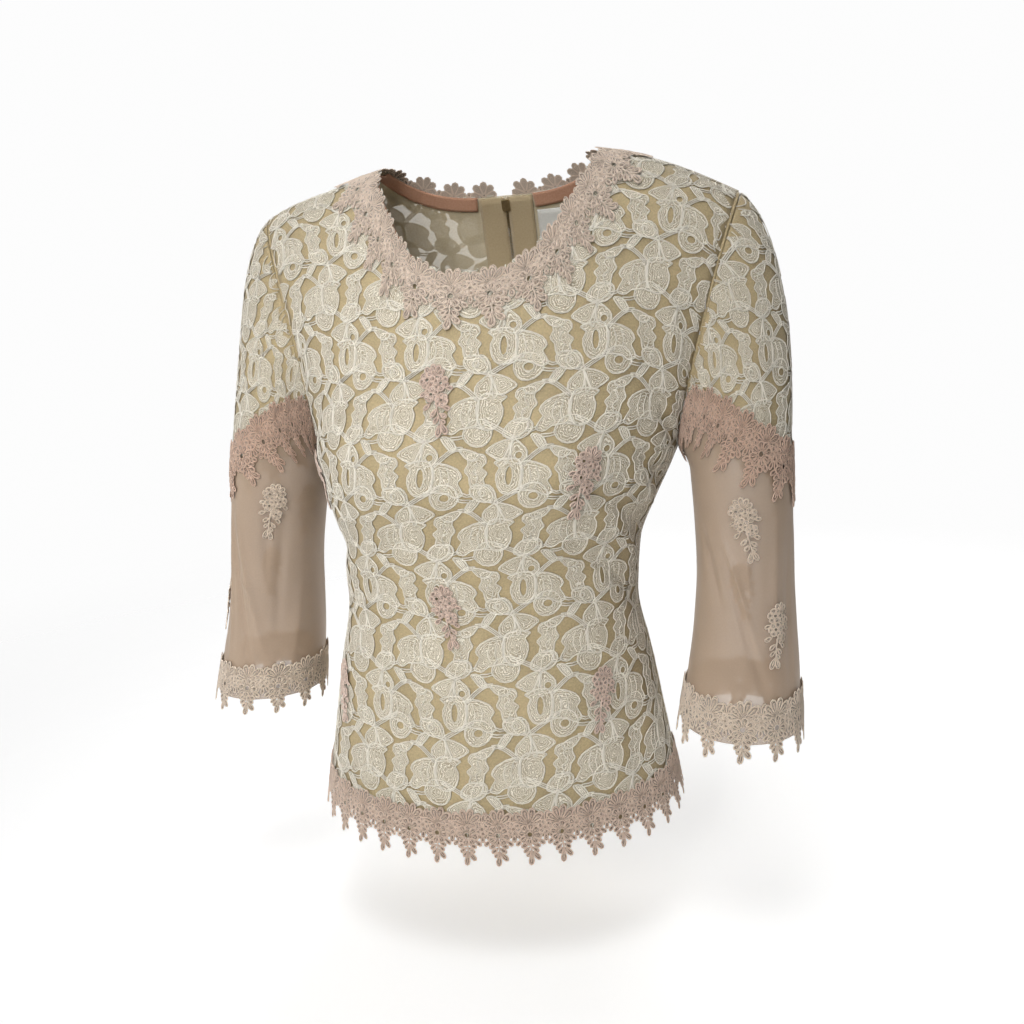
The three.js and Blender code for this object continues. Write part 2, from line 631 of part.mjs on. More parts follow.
// Neck trim: one strip from the zip round the front and back to the zip, laid on the panels. At the
// back its petals stand above the edge. Its width and reach change from a panel's own to their mean
// at the shoulder seams.
function trimStrip(yoke, columns, shoulders, width, stands) {
  const mean = (a, b) => (a + b) / 2;
  const toSeam = (column) => {
    const away = Math.min(...shoulders.map((shoulder) => Math.abs(column - shoulder)));
    return ease(away / MIDDLE, 0, 0.5);
  };
  const widthAt = (c) => mix(mean(NECK_TRIM.front, NECK_TRIM.back), width, toSeam(c));
  const standsAt = (c) => mix(mean(NECK_TRIM.stands, NECK_TRIM.overhang), stands, toSeam(c));
  const low = (c) => rowAway(yoke, c, widthAt(c));
  return neckStrip(yoke, columns, [
    low,
    (c) => (low(c) < YOKE_CELLS - 1 ? YOKE_CELLS - 1 : mean(low(c), YOKE_CELLS)),
    () => YOKE_CELLS,
    (c) => rowAway(yoke, c, -standsAt(c)),
  ]);
}
const trimLeft = trimStrip(
  backs.left.yoke,
  [NECK_TRIM.start, ...count(1, MIDDLE)],
  [MIDDLE],
  NECK_TRIM.back,
  NECK_TRIM.stands,
);
const trimRight = trimStrip(
  backs.right.yoke,
  [...count(0, MIDDLE - 1), MIDDLE - NECK_TRIM.start],
  [0],
  NECK_TRIM.back,
  NECK_TRIM.stands,
);
const trimFront = trimStrip(
  front.yoke,
  count(0, YOKE_COLUMNS),
  [0, YOKE_COLUMNS],
  NECK_TRIM.front,
  NECK_TRIM.overhang,
);
trimFront.turned = true;
// The front part takes its end columns from the back parts.
for (const key of ["points", "normals"])
  trimFront[key].forEach((row, r) => {
    row[0] = trimRight[key][r][0];
    row[YOKE_COLUMNS] = trimLeft[key][r][MIDDLE];
  });
addPiece("neck_trim", wall([trimLeft, trimFront, trimRight], TRIM_GAP + TRIM_WALL, TRIM_GAP), TRIM_FINISH);

// Where a point of the back at a given x and height lies, as across and share.
function backAt(x, z) {
  let across = 0;
  let share = ARMPIT.share;
  for (let round = 0; round < 6; round += 1) {
    let low = 0;
    let high = SEAM_SHARE;
    for (let i = 0; i < 30; i += 1) {
      share = (low + high) / 2;
      if (torsoPoint("back", across, share).z < z) low = share;
      else high = share;
    }
    const step = 0.01;
    const here = torsoPoint("back", across, share).x;
    across += ((x - here) * step) / (torsoPoint("back", across + step, share).x - here);
  }
  return { across, share };
}
// A piece inside the back, given by its x on each row and the rows' heights.
function backPatch(columns, heights) {
  const middleX = (z) => torsoPoint("back", 0, backAt(0, z).share).x;
  const at = heights.map((z) => columns.map((x) => backAt(x + middleX(z), z)));
  return makeGrid(
    heights.length,
    columns.length,
    (r, c) => torsoPoint("back", at[r][c].across, at[r][c].share),
    (r, c) => torsoNormal("back", at[r][c].across, at[r][c].share),
  );
}

// Zip: two tapes and the closed chain between them, from the neck edge down to the waist.
const neckShare = yokeHead("back", MIDDLE).share;
const heightAt = (share) => torsoPoint("back", 0, share).z;
const yokeShare = (row) => mix(ARMPIT.share, neckShare, row / YOKE_CELLS);
const zipShares = [
  ...BODY_SHARES.filter((share) => share >= ZIP.bottom),
  ...count(1, YOKE_CELLS - 1).map(yokeShare),
];
const tapeHeights = [...zipShares.map(heightAt), heightAt(neckShare) - TAPE.topGap];
const tapeOut = -LACE_WALL - SEAM_GAP - ZIP.bow;
for (const [half, way] of [["left", 1], ["right", -1]]) {
  const middle = (TAPE.inner + TAPE.outer) / 2;
  const tape = backPatch([TAPE.inner, middle, TAPE.outer].map((x) => way * x), tapeHeights);
  addPiece("zip_tape_" + half, wall(tape, tapeOut, tapeOut - TAPE.wall), TAPE_FINISH);
}

// The middle of the slit, read on the panel's rows, and the slider's frame on it.
const slit = backs.left;
const slitPoint = (row) => resample(slit.yoke, 1, 1, () => [row, 0]).points[0][0].setX(0);
const downSlit = slitPoint(YOKE_CELLS - 1).sub(slitPoint(YOKE_CELLS)).normalize();
const out = new THREE.Vector3(1, 0, 0).cross(downSlit);
const sliderFrame = new THREE.Matrix4()
  .makeBasis(new THREE.Vector3(-1, 0, 0), out, downSlit)
  .setPosition(slitPoint(rowAway(slit.yoke, 0, SLIDER_DOWN)));

// The closed chain below the slider.
const chainRows = [
  ...BODY_SHARES.map((share, r) => ({ share, grid: slit.body, row: r })).filter(
    ({ share }) => share >= ZIP.bottom,
  ),
  ...[...count(1, YOKE_CELLS - 1), rowAway(slit.yoke, 0, SLIDER_DOWN + CHAIN.below)]
    .sort((low, high) => low - high)
    .map((row) => ({ grid: slit.yoke, row })),
];
const chain = makeGrid(
  chainRows.length,
  2,
  (r, c) => {
    const { grid, row } = chainRows[r];
    const edge = resample(grid, 1, 1, () => [row, 0]).points[0][0];
    const middle = torsoPoint("back", 0, backAt(0, edge.z).share).x;
    return edge.setX(middle + (c ? CHAIN.half : -CHAIN.half));
  },
  (r) => {
    const { grid, row } = chainRows[r];
    return resample(grid, 1, 1, () => [row, 0]).normals[0][0].setX(0).normalize();
  },
);
addPiece("zip_chain", wall(chain, -CHAIN.under, -CHAIN.under - CHAIN.thick), METAL_FINISH);

const wasm = await Module();
wasm.setup();
function solidOf(geometry) {
  const bare = geometry.clone();
  bare.deleteAttribute("normal");
  bare.deleteAttribute("uv");
  const merged = mergeVertices(bare, 1e-4);
  return new wasm.Manifold(
    new wasm.Mesh({
      numProp: 3,
      vertProperties: merged.attributes.position.array,
      triVerts: new Uint32Array(merged.index.array),
    }),
  );
}
function geometryOf(solid) {
  const mesh = solid.getMesh();
  const geometry = new THREE.BufferGeometry();
  geometry.setAttribute("position", new THREE.BufferAttribute(mesh.vertProperties, 3));
  geometry.setIndex(new THREE.BufferAttribute(mesh.triVerts, 1));
  geometry.computeVertexNormals();
  return geometry;
}
const blocks = SLIDER_BLOCKS.map(({ half, n, d }) => {
  const box = new THREE.BoxGeometry(2 * half, n[1] - n[0], d[1] - d[0]);
  box.translate(0, (n[0] + n[1]) / 2, (d[0] + d[1]) / 2);
  return solidOf(box);
});
const slider = geometryOf(blocks.reduce((sum, block) => sum.add(block)));
addPiece("zip_slider", slider.applyMatrix4(sliderFrame), METAL_FINISH);

// The pull tab hangs by its bar under the slider's bridge, so its eye goes round the bridge.
function tabGeometry() {
  const round = TAB.wide;
  const outline = new THREE.Shape();
  outline.moveTo(-TAB.half, -TAB.bar);
  outline.lineTo(TAB.half, -TAB.bar);
  outline.lineTo(TAB.half, TAB.eyeEnd + 1);
  outline.lineTo(TAB.wide, TAB.length - round);
  outline.absarc(0, TAB.length - round, round, 0, Math.PI, false);
  outline.lineTo(-TAB.half, TAB.eyeEnd + 1);
  const eye = new THREE.Path();
  eye.moveTo(-TAB.eye, TAB.bar);
  eye.lineTo(-TAB.eye, TAB.eyeEnd);
  eye.lineTo(TAB.eye, TAB.eyeEnd);
  eye.lineTo(TAB.eye, TAB.bar);
  const hole = new THREE.Path();
  hole.absarc(0, TAB.length - round, TAB.hole, 0, 2 * Math.PI, true);
  outline.holes.push(eye, hole);
  const plate = new THREE.ExtrudeGeometry(outline, {
    depth: 2 * TAB.bar,
    bevelEnabled: false,
    curveSegments: 8,
  });
  // The outline's plane becomes x and d, and its thickness n.
  plate.translate(0, 0, -TAB.bar);
  plate.applyMatrix4(new THREE.Matrix4().makeRotationX(Math.PI / 2));
  plate.translate(0, TAB.axis, 0);
  return plate;
}
addPiece("zip_pull", tabGeometry().applyMatrix4(sliderFrame), METAL_FINISH);

// A bare label inside the left back, below the neck binding.
const label = backPatch(
  [LABEL.from, (LABEL.from + LABEL.to) / 2, LABEL.to],
  [LABEL.bottom, (LABEL.bottom + LABEL.top) / 2, LABEL.top],
);
const labelOut = -LACE_WALL - SEAM_GAP - LABEL.bow;
addPiece("label", wall(label, labelOut, labelOut - LABEL.wall), LABEL_FINISH);

// Flower sprays: on a panel each lies on the panel's own facets, and on a sleeve it bends round it.
const SPRAY_STEPS = { around: 3, down: 4 };
function sleeveSpray(side, angle, down) {
  const angleAt = (c) => mix(...angle, c / (SPRAY_STEPS.around - 1)) * DEGREE;
  const downAt = (r) => mix(...down, r / (SPRAY_STEPS.down - 1));
  return makeGrid(
    SPRAY_STEPS.down,
    SPRAY_STEPS.around,
    (r, c) => sleevePoint(side, angleAt(c), downAt(r)),
    (r, c) => sleeveNormal(side, angleAt(c), downAt(r)),
  );
}
const onPanel = (panel) => ({ grid, columns, rows }) => patch(panel[grid], ...columns, ...rows);
const onSleeve = (side) => ({ angle, down }) => sleeveSpray(side, angle, down);
const sprayPlaces = [
  { name: "front", list: SPRAYS.front, lay: onPanel(front) },
  { name: "back_left", list: SPRAYS.backLeft, lay: onPanel(backs.left) },
  { name: "back_right", list: SPRAYS.backRight, lay: onPanel(backs.right) },
  { name: "sleeve_left", list: SPRAYS.sleeveLeft, lay: onSleeve("left") },
  { name: "sleeve_right", list: SPRAYS.sleeveRight, lay: onSleeve("right") },
];
for (const { name, list, lay } of sprayPlaces)
  list.forEach((spray, i) => {
    const gap = spray.grid ? LAID_GAP : ROUND_GAP;
    const geometry = wall(lay(spray), gap + MOTIF_WALL, gap);
    addPiece(["spray", name, i + 1].join("_"), geometry, TRIM_FINISH);
  });

export default blouse;
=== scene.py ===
"""The lace blouse's looks: corded lace on a plain lining, sheer lower sleeves, flower trims, a back zip."""

import json
import math

import bmesh
import bpy
import numpy as np
from mathutils import Matrix, Vector

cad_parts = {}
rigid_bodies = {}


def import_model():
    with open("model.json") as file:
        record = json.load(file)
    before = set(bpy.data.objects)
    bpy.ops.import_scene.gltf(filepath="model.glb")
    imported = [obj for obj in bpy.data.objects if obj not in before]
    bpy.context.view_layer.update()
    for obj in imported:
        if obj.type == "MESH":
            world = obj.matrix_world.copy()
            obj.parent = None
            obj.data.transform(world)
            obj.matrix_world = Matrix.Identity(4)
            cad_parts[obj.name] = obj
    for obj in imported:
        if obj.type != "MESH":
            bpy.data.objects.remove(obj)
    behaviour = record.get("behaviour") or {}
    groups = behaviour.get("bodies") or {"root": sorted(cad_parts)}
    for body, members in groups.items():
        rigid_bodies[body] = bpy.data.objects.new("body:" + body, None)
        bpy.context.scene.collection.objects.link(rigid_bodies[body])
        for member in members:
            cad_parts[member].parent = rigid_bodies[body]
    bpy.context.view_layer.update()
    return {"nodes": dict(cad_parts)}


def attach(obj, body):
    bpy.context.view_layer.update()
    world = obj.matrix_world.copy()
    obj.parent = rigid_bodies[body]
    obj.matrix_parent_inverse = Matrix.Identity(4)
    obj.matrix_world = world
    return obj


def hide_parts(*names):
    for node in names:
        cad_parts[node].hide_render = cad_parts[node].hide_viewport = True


bl_info = {
    "name": "Lace Blouse",
    "version": (1, 0, 0),
    "blender": (4, 5, 0),
    "location": "View3D > Sidebar > Blouse",
    "description": "Builds a filled-out lace blouse round its packed solids",
    "category": "Add Mesh",
}

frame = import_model()

MM = 0.001
DEGREE = math.pi / 180
BODY = "blouse"

# The cut of the blouse in millimetres, as its solids have it. Torso rings from hem to armpit.
TORSO = {
    "share": (0, 0.1, 0.2, 0.3, 0.4, 0.48, 0.56, 0.62),
    "height": (-536, -488, -430, -372, -325, -290, -262, -240),
    "half": (161, 152, 142, 131, 132, 142, 152, 159),
    "front": (131, 125, 113, 106, 111, 117, 122, 121),
    "back": (106, 103, 94, 84, 84, 90, 95, 98),
}
ARMPIT = TORSO["share"][-1]
ARMPIT_HALF = TORSO["half"][-1]
ARMPIT_HEIGHT = TORSO["height"][-1]
RING_POWER = 0.85  # under 1 rounds a ring out towards a rectangle
HEM_DIP = {"front": 10, "back": 4}  # how much lower the hem hangs at the middle
SWAY = {"from": 110, "to": 390, "reach": 22}  # of the hips, to the wearer's right
SHOULDER_TILT = {"slope": 0.03, "from": 120, "to": 200}  # the left one hangs a little low

# Armhole, shoulder and neck.
SHOULDER = (203, 5, -35)  # top of the armhole
ARMHOLE_REACH = {"front": 46, "back": 44}
ARMHOLE_FLARE = 1.6  # keeps the lower armhole close to the chest
ROOF = 12  # height that the shoulder lines would meet at
RISE_POWER = 1.15
LEAN_POWER = 0.9
RIDGE_POWER = 1.6  # how the shoulder line falls from neck to shoulder
CHEST_TURN = 38  # degrees by which a ring opens between armpit and shoulder
CHEST_TURN_RATE = 1.6
BUST = {"depth": 14, "x": 72, "z": -252, "width": 48, "height": 55}
NECK_ACROSS = 0.402  # neck point, as a share of the shoulder line
NECK_POWER = 0.85  # under 1 rounds the neck opening out towards a rectangle
NECK_LOW = {"front": 0.43, "back": 0.7}  # lowest point of the neck, as a share of armpit to roof
ACROSS_CELLS = 20
ARMHOLE_CELLS = 7
YOKE_COLUMNS = ACROSS_CELLS + 2 * ARMHOLE_CELLS
TOP_SHARE = 0.9996  # just short of the shoulder line, where rows close up

# Sleeve rings from the armpit's height to the cuff, for the left sleeve.
SLEEVE = {
    "share": (0, 0.18, 0.4, 0.59, 0.78, 1),
    "height": (-262, -300, -345, -385, -425, -470),
    "middle": (209, 212, 214, 215, 216, 217),
    "across": (42, 41, 40, 42, 46, 50),
    "deep": (57, 56, 55, 55, 56, 57),
}
SLEEVE_LAG = 6  # how far both sleeves' middles sway to the wearer's left
# How many degrees below level the sleeve leaves the armhole, and how full its curve is.
CAP = {"top_dip": 32, "under_dip": 70, "leave": 0.2, "arrive": 0.3}
SLEEVE_TURN = {
    "left": {"splay": (3, 0), "forward": (-6, -34)},
    "right": {"splay": (-8, 13), "forward": (-6, 10)},
}
SLEEVE_SEAM = {
    "angle": (0, 20, 45, 60, 75, 90, 120, 150, 180),
    "share": (0.3, 0.22, 0.18, 0.38, 0.6, 0.76, 0.9, 0.97, 1),
}

# Creases that the worn cloth makes, one row each: where a soft line starts and ends, its width and
# its depth in millimetres (minus for a trough). On the torso a place is (across, share); on a sleeve
# it is (degrees from the underarm over the front, how far down from armhole 0 to cuff 2).
CREASES = {
    "front": (
        ((0.60, 0.62), (0.98, 0.52), 7, -4.2),
        ((0.66, 0.56), (0.99, 0.46), 5, 2.8),
        ((0.52, 0.53), (0.97, 0.41), 8, -4.8),
        ((0.60, 0.47), (0.97, 0.35), 6, 3.2),
        ((0.46, 0.43), (0.96, 0.28), 8, -3.8),
        ((0.70, 0.72), (0.97, 0.64), 8, -2.6),
        ((0.78, 0.82), (0.93, 0.70), 7, 1.8),
        ((-0.62, 0.61), (-0.97, 0.49), 9, -2.4),
        ((-0.50, 0.47), (-0.95, 0.38), 11, -2.6),
        ((-0.72, 0.73), (-0.96, 0.65), 8, -2.2),
        ((-0.80, 0.83), (-0.94, 0.69), 6, 1.6),
        ((-0.35, 0.36), (-0.85, 0.30), 12, -1.8),
        ((0.30, 0.05), (0.42, 0.27), 14, 2.0),
        ((-0.30, 0.02), (-0.38, 0.24), 15, -2.2),
        ((-0.66, 0.03), (-0.60, 0.22), 13, 1.8),
        ((0.70, 0.02), (0.66, 0.2), 12, -2.2),
        ((0.04, 0.30), (0.10, 0.06), 16, -1.6),
        ((-0.12, 0.52), (0.14, 0.50), 13, -1.6),
    ),
    "back": (
        ((-0.85, 0.41), (-0.10, 0.36), 10, -2.8),
        ((0.12, 0.375), (0.88, 0.43), 11, -3.0),
        ((-0.70, 0.33), (-0.16, 0.31), 9, -2.2),
        ((0.20, 0.30), (0.74, 0.35), 9, -2.0),
        ((0.66, 0.78), (0.95, 0.62), 8, -2.6),
        ((-0.68, 0.80), (-0.95, 0.63), 9, -2.4),
        ((0.50, 0.62), (0.90, 0.53), 10, -2.0),
        ((-0.46, 0.60), (-0.88, 0.52), 9, 1.8),
        ((-0.42, 0.03), (-0.36, 0.24), 14, -2.2),
        ((0.36, 0.02), (0.42, 0.22), 13, 2.0),
        ((0.72, 0.02), (0.70, 0.2), 13, -1.8),
        ((-0.74, 0.04), (-0.70, 0.19), 12, 1.6),
    ),
    "left": (
        ((60, 1.18), (108, 1.7), 3.6, 2.2),
        ((66, 1.3), (116, 1.86), 4.2, -2.4),
        ((88, 1.14), (96, 1.5), 3.6, 1.6),
        ((128, 1.08), (121, 1.80), 6, 1.8),
        ((150, 1.18), (143, 1.88), 6, -1.6),
        ((34, 1.20), (62, 1.52), 5, -2.0),
        ((92, 1.70), (128, 1.55), 5, 1.3),
        ((175, 1.25), (168, 1.80), 8, 1.5),
        ((205, 1.15), (222, 1.75), 8, -1.9),
        ((244, 1.30), (262, 1.85), 7, 1.8),
        ((292, 1.15), (270, 1.55), 6, -2.0),
        ((320, 1.35), (335, 1.85), 8, 1.6),
        ((100, 0.30), (86, 0.62), 7, -1.4),
        ((140, 0.35), (128, 0.85), 9, -1.6),
        ((232, 0.30), (222, 0.80), 9, -1.6),
    ),
    "right": (
        ((118, 1.16), (74, 1.78), 3.6, 2.2),
        ((127, 1.2), (88, 1.86), 4.2, -2.6),
        ((52, 1.15), (60, 1.72), 6, -1.8),
        ((134, 1.12), (122, 1.8), 3.4, 2.0),
        ((84, 1.5), (120, 1.42), 3.4, 1.6),
        ((76, 1.12), (72, 1.4), 5, -1.6),
        ((160, 1.10), (150, 1.72), 8, -1.7),
        ((28, 1.45), (44, 1.86), 6, 1.6),
        ((190, 1.22), (204, 1.80), 8, 1.8),
        ((232, 1.12), (214, 1.66), 7, -1.9),
        ((262, 1.40), (280, 1.86), 8, 1.6),
        ((308, 1.15), (290, 1.60), 7, -1.8),
        ((338, 1.35), (328, 1.80), 7, 1.5),
        ((104, 0.30), (92, 0.64), 7, -1.4),
        ((142, 0.35), (130, 0.85), 9, -1.5),
        ((228, 0.32), (218, 0.82), 9, -1.5),
    ),
}
TORSO_SCALE = (155, 540)  # millimetres to one of across and one of share
SLEEVE_SCALE = (0.93, 208)  # millimetres to a degree and to one of down

# The lace's repeat on each piece: the flat place of one knot, and the flat box that the repeat fills
# (u low, u high, v low, v high).
LACE_KNOT = {"front": (39, 19), "back": (10, -20), "left": (6, -10), "right": (-8, -10)}
LACE_BOX = {"front": (-260, 260, -320, 230), "back": (-260, 260, -320, 260), "sleeve": (-230, 230, -300, 60)}

# The flower trims in millimetres: a cord's half width, the step that they are drawn at, how far above
# the edge or the seam their scallops' tops stand, and how much they are stretched in height.
TRIMS = {
    "neck": {"cord": 0.55, "step": 27, "top": 1.5, "tall": 1},
    "hem": {"cord": 0.55, "step": 26, "top": 26, "tall": 0.98},
    "cuff": {"cord": 0.58, "step": 28, "top": 37, "tall": 1.06},
    "sleeve": {"cord": 0.58, "step": 27, "top": 25, "tall": 1.12},
}
CLOVER_RISE = 10  # how much higher the clusters at the back of the neck stand
EDGE_REACH = {"neck": (16, 52), "hem": (26, 37), "cuff": (20, 52)}  # past the edge, and in from it
# From one row that is walked in from an edge to the next, in the cloth's own numbers.
ROW_STEP = {"neck": 0.045, "hem": 0.011, "cuff": 0.025, "binding": 0.014}

TAPE_ACROSS = (1.2, 24.5)  # a zip tape's two sides, from the middle back
ZIP_FOOT = 0.3  # the zip's lower end, as a share from hem to shoulder
LABEL_ACROSS = (28, 56)  # its two sides, left of the middle back
LABEL_HEIGHT = (-66, -34)

# How far each layer lies out from the outer face of the solids' panels, in millimetres.
LINING_OUT = -1.0
LINING_THICK = 0.5
LACE_LIFT = -0.3
NET_OUT = -0.32
NET_THICK = 0.1
SHEER_OUT = -0.45
SHEER_THICK = 0.35
BINDING_OUT = {"front": -3.2, "back": -1.6}
TAPE_OUT = -2.1
LABEL_OUT = -2.6
SEWN_THICK = 0.5  # of the bindings, the zip tapes and the label
TRIM_LIFT = 0.6
SPRAY_LIFT = 0.7
TRIM_RELIEF = 0.75


def unit(vectors):
    return vectors / np.maximum(np.linalg.norm(vectors, axis=-1, keepdims=True), 1e-9)


def run_along(points):
    """How far each point lies along its line; points go along the first axis."""
    steps = np.linalg.norm(np.diff(points, axis=0), axis=-1)
    return np.concatenate([0 * steps[:1], np.cumsum(steps, 0)])


def ease(value, low, high):
    x = np.clip((value - low) / (high - low), 0, 1)
    return x * x * (3 - 2 * x)


def read(table, key, column, at):
    """A table's column at any key, on a smooth curve that never overshoots its rows."""
    xs, ys = np.array(table[key], float), np.array(table[column], float)
    at = np.clip(np.asarray(at, float), xs[0], xs[-1])
    span = np.diff(xs)
    slope = np.diff(ys) / span
    tangent = np.zeros(len(xs))
    tangent[0], tangent[-1] = slope[0], slope[-1]
    for i in range(1, len(xs) - 1):
        if slope[i - 1] * slope[i] > 0:
            first, second = 2 * span[i] + span[i - 1], span[i] + 2 * span[i - 1]
            tangent[i] = (first + second) / (first / slope[i - 1] + second / slope[i])
    i = np.clip(np.searchsorted(xs, at, side="right") - 1, 0, len(xs) - 2)
    u = (at - xs[i]) / span[i]
    return (
        (1 + 2 * u) * (1 - u) ** 2 * ys[i]
        + u * (1 - u) ** 2 * span[i] * tangent[i]
        + u * u * (3 - 2 * u) * ys[i + 1]
        + u * u * (u - 1) * span[i] * tangent[i + 1]
    )


def stance(x, y, z):
    """The sway of the hips and the low left shoulder."""
    sway = SWAY["reach"] * ease(-z, SWAY["from"], SWAY["to"])
    tilt = SHOULDER_TILT["slope"] * x * ease(np.abs(x), SHOULDER_TILT["from"], SHOULDER_TILT["to"])
    return np.stack([x - sway, y + 0 * x, z - tilt], -1)


def armhole(angle):
    """x, y and z of the armhole, at an angle from the underarm over the front."""
    up = (1 - np.cos(angle)) / 2
    reach = np.where(np.sin(angle) > 0, -ARMHOLE_REACH["front"], ARMHOLE_REACH["back"])
    return (
        ARMPIT_HALF + (SHOULDER[0] - ARMPIT_HALF) * up**ARMHOLE_FLARE,
        reach * np.abs(np.sin(angle)) + SHOULDER[1] * up,
        ARMPIT_HEIGHT + (SHOULDER[2] - ARMPIT_HEIGHT) * up,
    )


def plain_torso(side, across, share):
    """A point of the front or back: across from -1 (right) to 1, share from hem to shoulder."""
    across, share = np.broadcast_arrays(np.asarray(across, float), np.asarray(share, float))
    way = -1 if side == "front" else 1
    low = np.minimum(share, ARMPIT)
    depth = way * read(TORSO, "share", side, low)
    up = np.clip((share - ARMPIT) / (1 - ARMPIT), 0, 1)
    above = up > 0
    arm_x, arm_y, arm_z = armhole(-way * up * math.pi)
    height = read(TORSO, "share", "height", low)
    dip = HEM_DIP[side] * (1 - across * across) * (1 - ease(share, 0, 0.1))
    edge_x = np.where(above, arm_x, read(TORSO, "share", "half", low))
    edge_y = np.where(above, arm_y, 0)
    edge_z = np.where(above, arm_z, height - dip)
    lean = np.maximum(0, np.cos(up * math.pi / 2)) ** LEAN_POWER
    middle_y = np.where(above, SHOULDER[1] + (depth - SHOULDER[1]) * lean, depth)
    rise = ARMPIT_HEIGHT + (ROOF - ARMPIT_HEIGHT) * np.sin(up * math.pi / 2) ** RISE_POWER
    middle_z = np.where(above, rise, height - dip)
    turn = (90 - CHEST_TURN * np.minimum(1, up * CHEST_TURN_RATE)) * DEGREE
    bow = np.clip((np.cos(across * turn) - np.cos(turn)) / (1 - np.cos(turn)), 0, 1) ** RING_POWER
    x = edge_x * np.sin(across * turn) / np.sin(turn)
    z = middle_z + (edge_z - middle_z) * np.abs(across) ** RIDGE_POWER
    y = edge_y + (middle_y - edge_y) * bow
    if side == "front":
        for centre in (BUST["x"], -BUST["x"]):
            swell = np.exp(-(((x - centre) / BUST["width"]) ** 2) - ((z - BUST["z"]) / BUST["height"]) ** 2)
            y = y - BUST["depth"] * swell * np.minimum(1, bow * 1.5)
    return stance(x, y, z)


def sleeve_ring(side, angle, share):
    """A point of the lower sleeve, share of the way from its first ring to the cuff."""
    way = 1 if side == "left" else -1
    (top, cuff), (back, front) = SLEEVE_TURN[side]["splay"], SLEEVE_TURN[side]["forward"]
    middle = read(SLEEVE, "share", "middle", share) + top + (cuff - top) * share
    lag = way * SLEEVE_LAG * np.sin(math.pi * share)
    x = middle + lag - read(SLEEVE, "share", "across", share) * np.cos(angle)
    y = back + (front - back) * share - read(SLEEVE, "share", "deep", share) * np.sin(angle)
    return np.stack([x, y, read(SLEEVE, "share", "height", share)], -1)


def plain_sleeve(side, angle, down):
    """A point of a sleeve: angle from the underarm over the front, down from armhole 0 to cuff 2."""
    angle, down = np.broadcast_arrays(np.asarray(angle, float), np.asarray(down, float))
    way = 1 if side == "left" else -1
    below = sleeve_ring(side, angle, np.clip(down - 1, 0, None))
    start = np.stack(armhole(angle), -1)
    end = sleeve_ring(side, angle, 0 * angle)
    length = np.linalg.norm(start - end, axis=-1, keepdims=True)
    dip = (CAP["top_dip"] + (CAP["under_dip"] - CAP["top_dip"]) * (1 + np.cos(angle)) / 2) * DEGREE
    leave = start + np.stack([np.cos(dip), 0 * angle, -np.sin(dip)], -1) * CAP["leave"] * length
    course = unit(sleeve_ring(side, angle, 0 * angle + 0.02) - end)
    arrive = end - course * CAP["arrive"] * length
    u = np.clip(down, 0, 1)[..., None]
    cap = (1 - u) ** 3 * start + 3 * u * (1 - u) ** 2 * leave + 3 * u * u * (1 - u) * arrive + u**3 * end
    point = np.where((down >= 1)[..., None], below, cap)
    return stance(way * point[..., 0], point[..., 1], point[..., 2])


def plain(cloth, a, b):
    """cloth is front, back, left or right; a and b are its own two numbers."""
    return plain_torso(cloth, a, b) if cloth in NECK_LOW else plain_sleeve(cloth, a, b)


STEPS = {"front": (4e-3, 3e-3), "back": (4e-3, 3e-3), "left": (0.01, 0.01), "right": (0.01, 0.01)}
FACING = {"front": 1, "back": -1, "left": -1, "right": 1}


def outward(surface, cloth, a, b):
    """The outward normals of surface(cloth, a, b)."""
    step_a, step_b = STEPS[cloth]
    if cloth in NECK_LOW:
        a, b = np.clip(a, -0.995, 0.995), np.clip(b, 0.004, 0.993)
    else:
        b = np.clip(b, 0.012, 1.985)
    along = surface(cloth, a + step_a, b) - surface(cloth, a - step_a, b)
    up = surface(cloth, a, b + step_b) - surface(cloth, a, b - step_b)
    return unit(np.cross(along, up) * FACING[cloth])


def crease_height(cloth, a, b):
    """How far the creases lift the cloth, in millimetres."""
    a, b = np.broadcast_arrays(np.asarray(a, float), np.asarray(b, float))
    on_torso = cloth in NECK_LOW
    scale = TORSO_SCALE if on_torso else SLEEVE_SCALE
    a = a if on_torso else np.mod(a / DEGREE, 360)
    total = np.zeros(a.shape)
    for (a0, b0), (a1, b1), width, depth in CREASES[cloth]:
        run = np.array([(a1 - a0) * scale[0], (b1 - b0) * scale[1]])
        x, y = (a - a0) * scale[0], (b - b0) * scale[1]
        along = np.clip((x * run[0] + y * run[1]) / (run @ run), 0, 1)
        away = np.hypot(x - along * run[0], y - along * run[1])
        swell = 0.3 + 0.7 * np.sin(math.pi * along)
        total += depth * np.exp(-((away / width) ** 2)) * swell
    if on_torso:  # quiet at the side seams, which both panels share
        return total * (1 - ease(np.abs(a), 0.9, 1.0))
    return total * ease(b, 0.05, 0.25)


def cloth_points(cloth, a, b):
    """Points of the creased cloth."""
    normal = outward(plain, cloth, a, b)
    return plain(cloth, a, b) + normal * crease_height(cloth, a, b)[..., None]


def cloth_at(cloth, a, b):
    """Points of the creased cloth and the normals there."""
    return cloth_points(cloth, a, b), outward(cloth_points, cloth, a, b)


def seam_share(angle):
    """Where the lace sleeve ends, at an angle round the sleeve."""
    return read(SLEEVE_SEAM, "angle", "share", np.arccos(np.cos(angle)) / DEGREE)


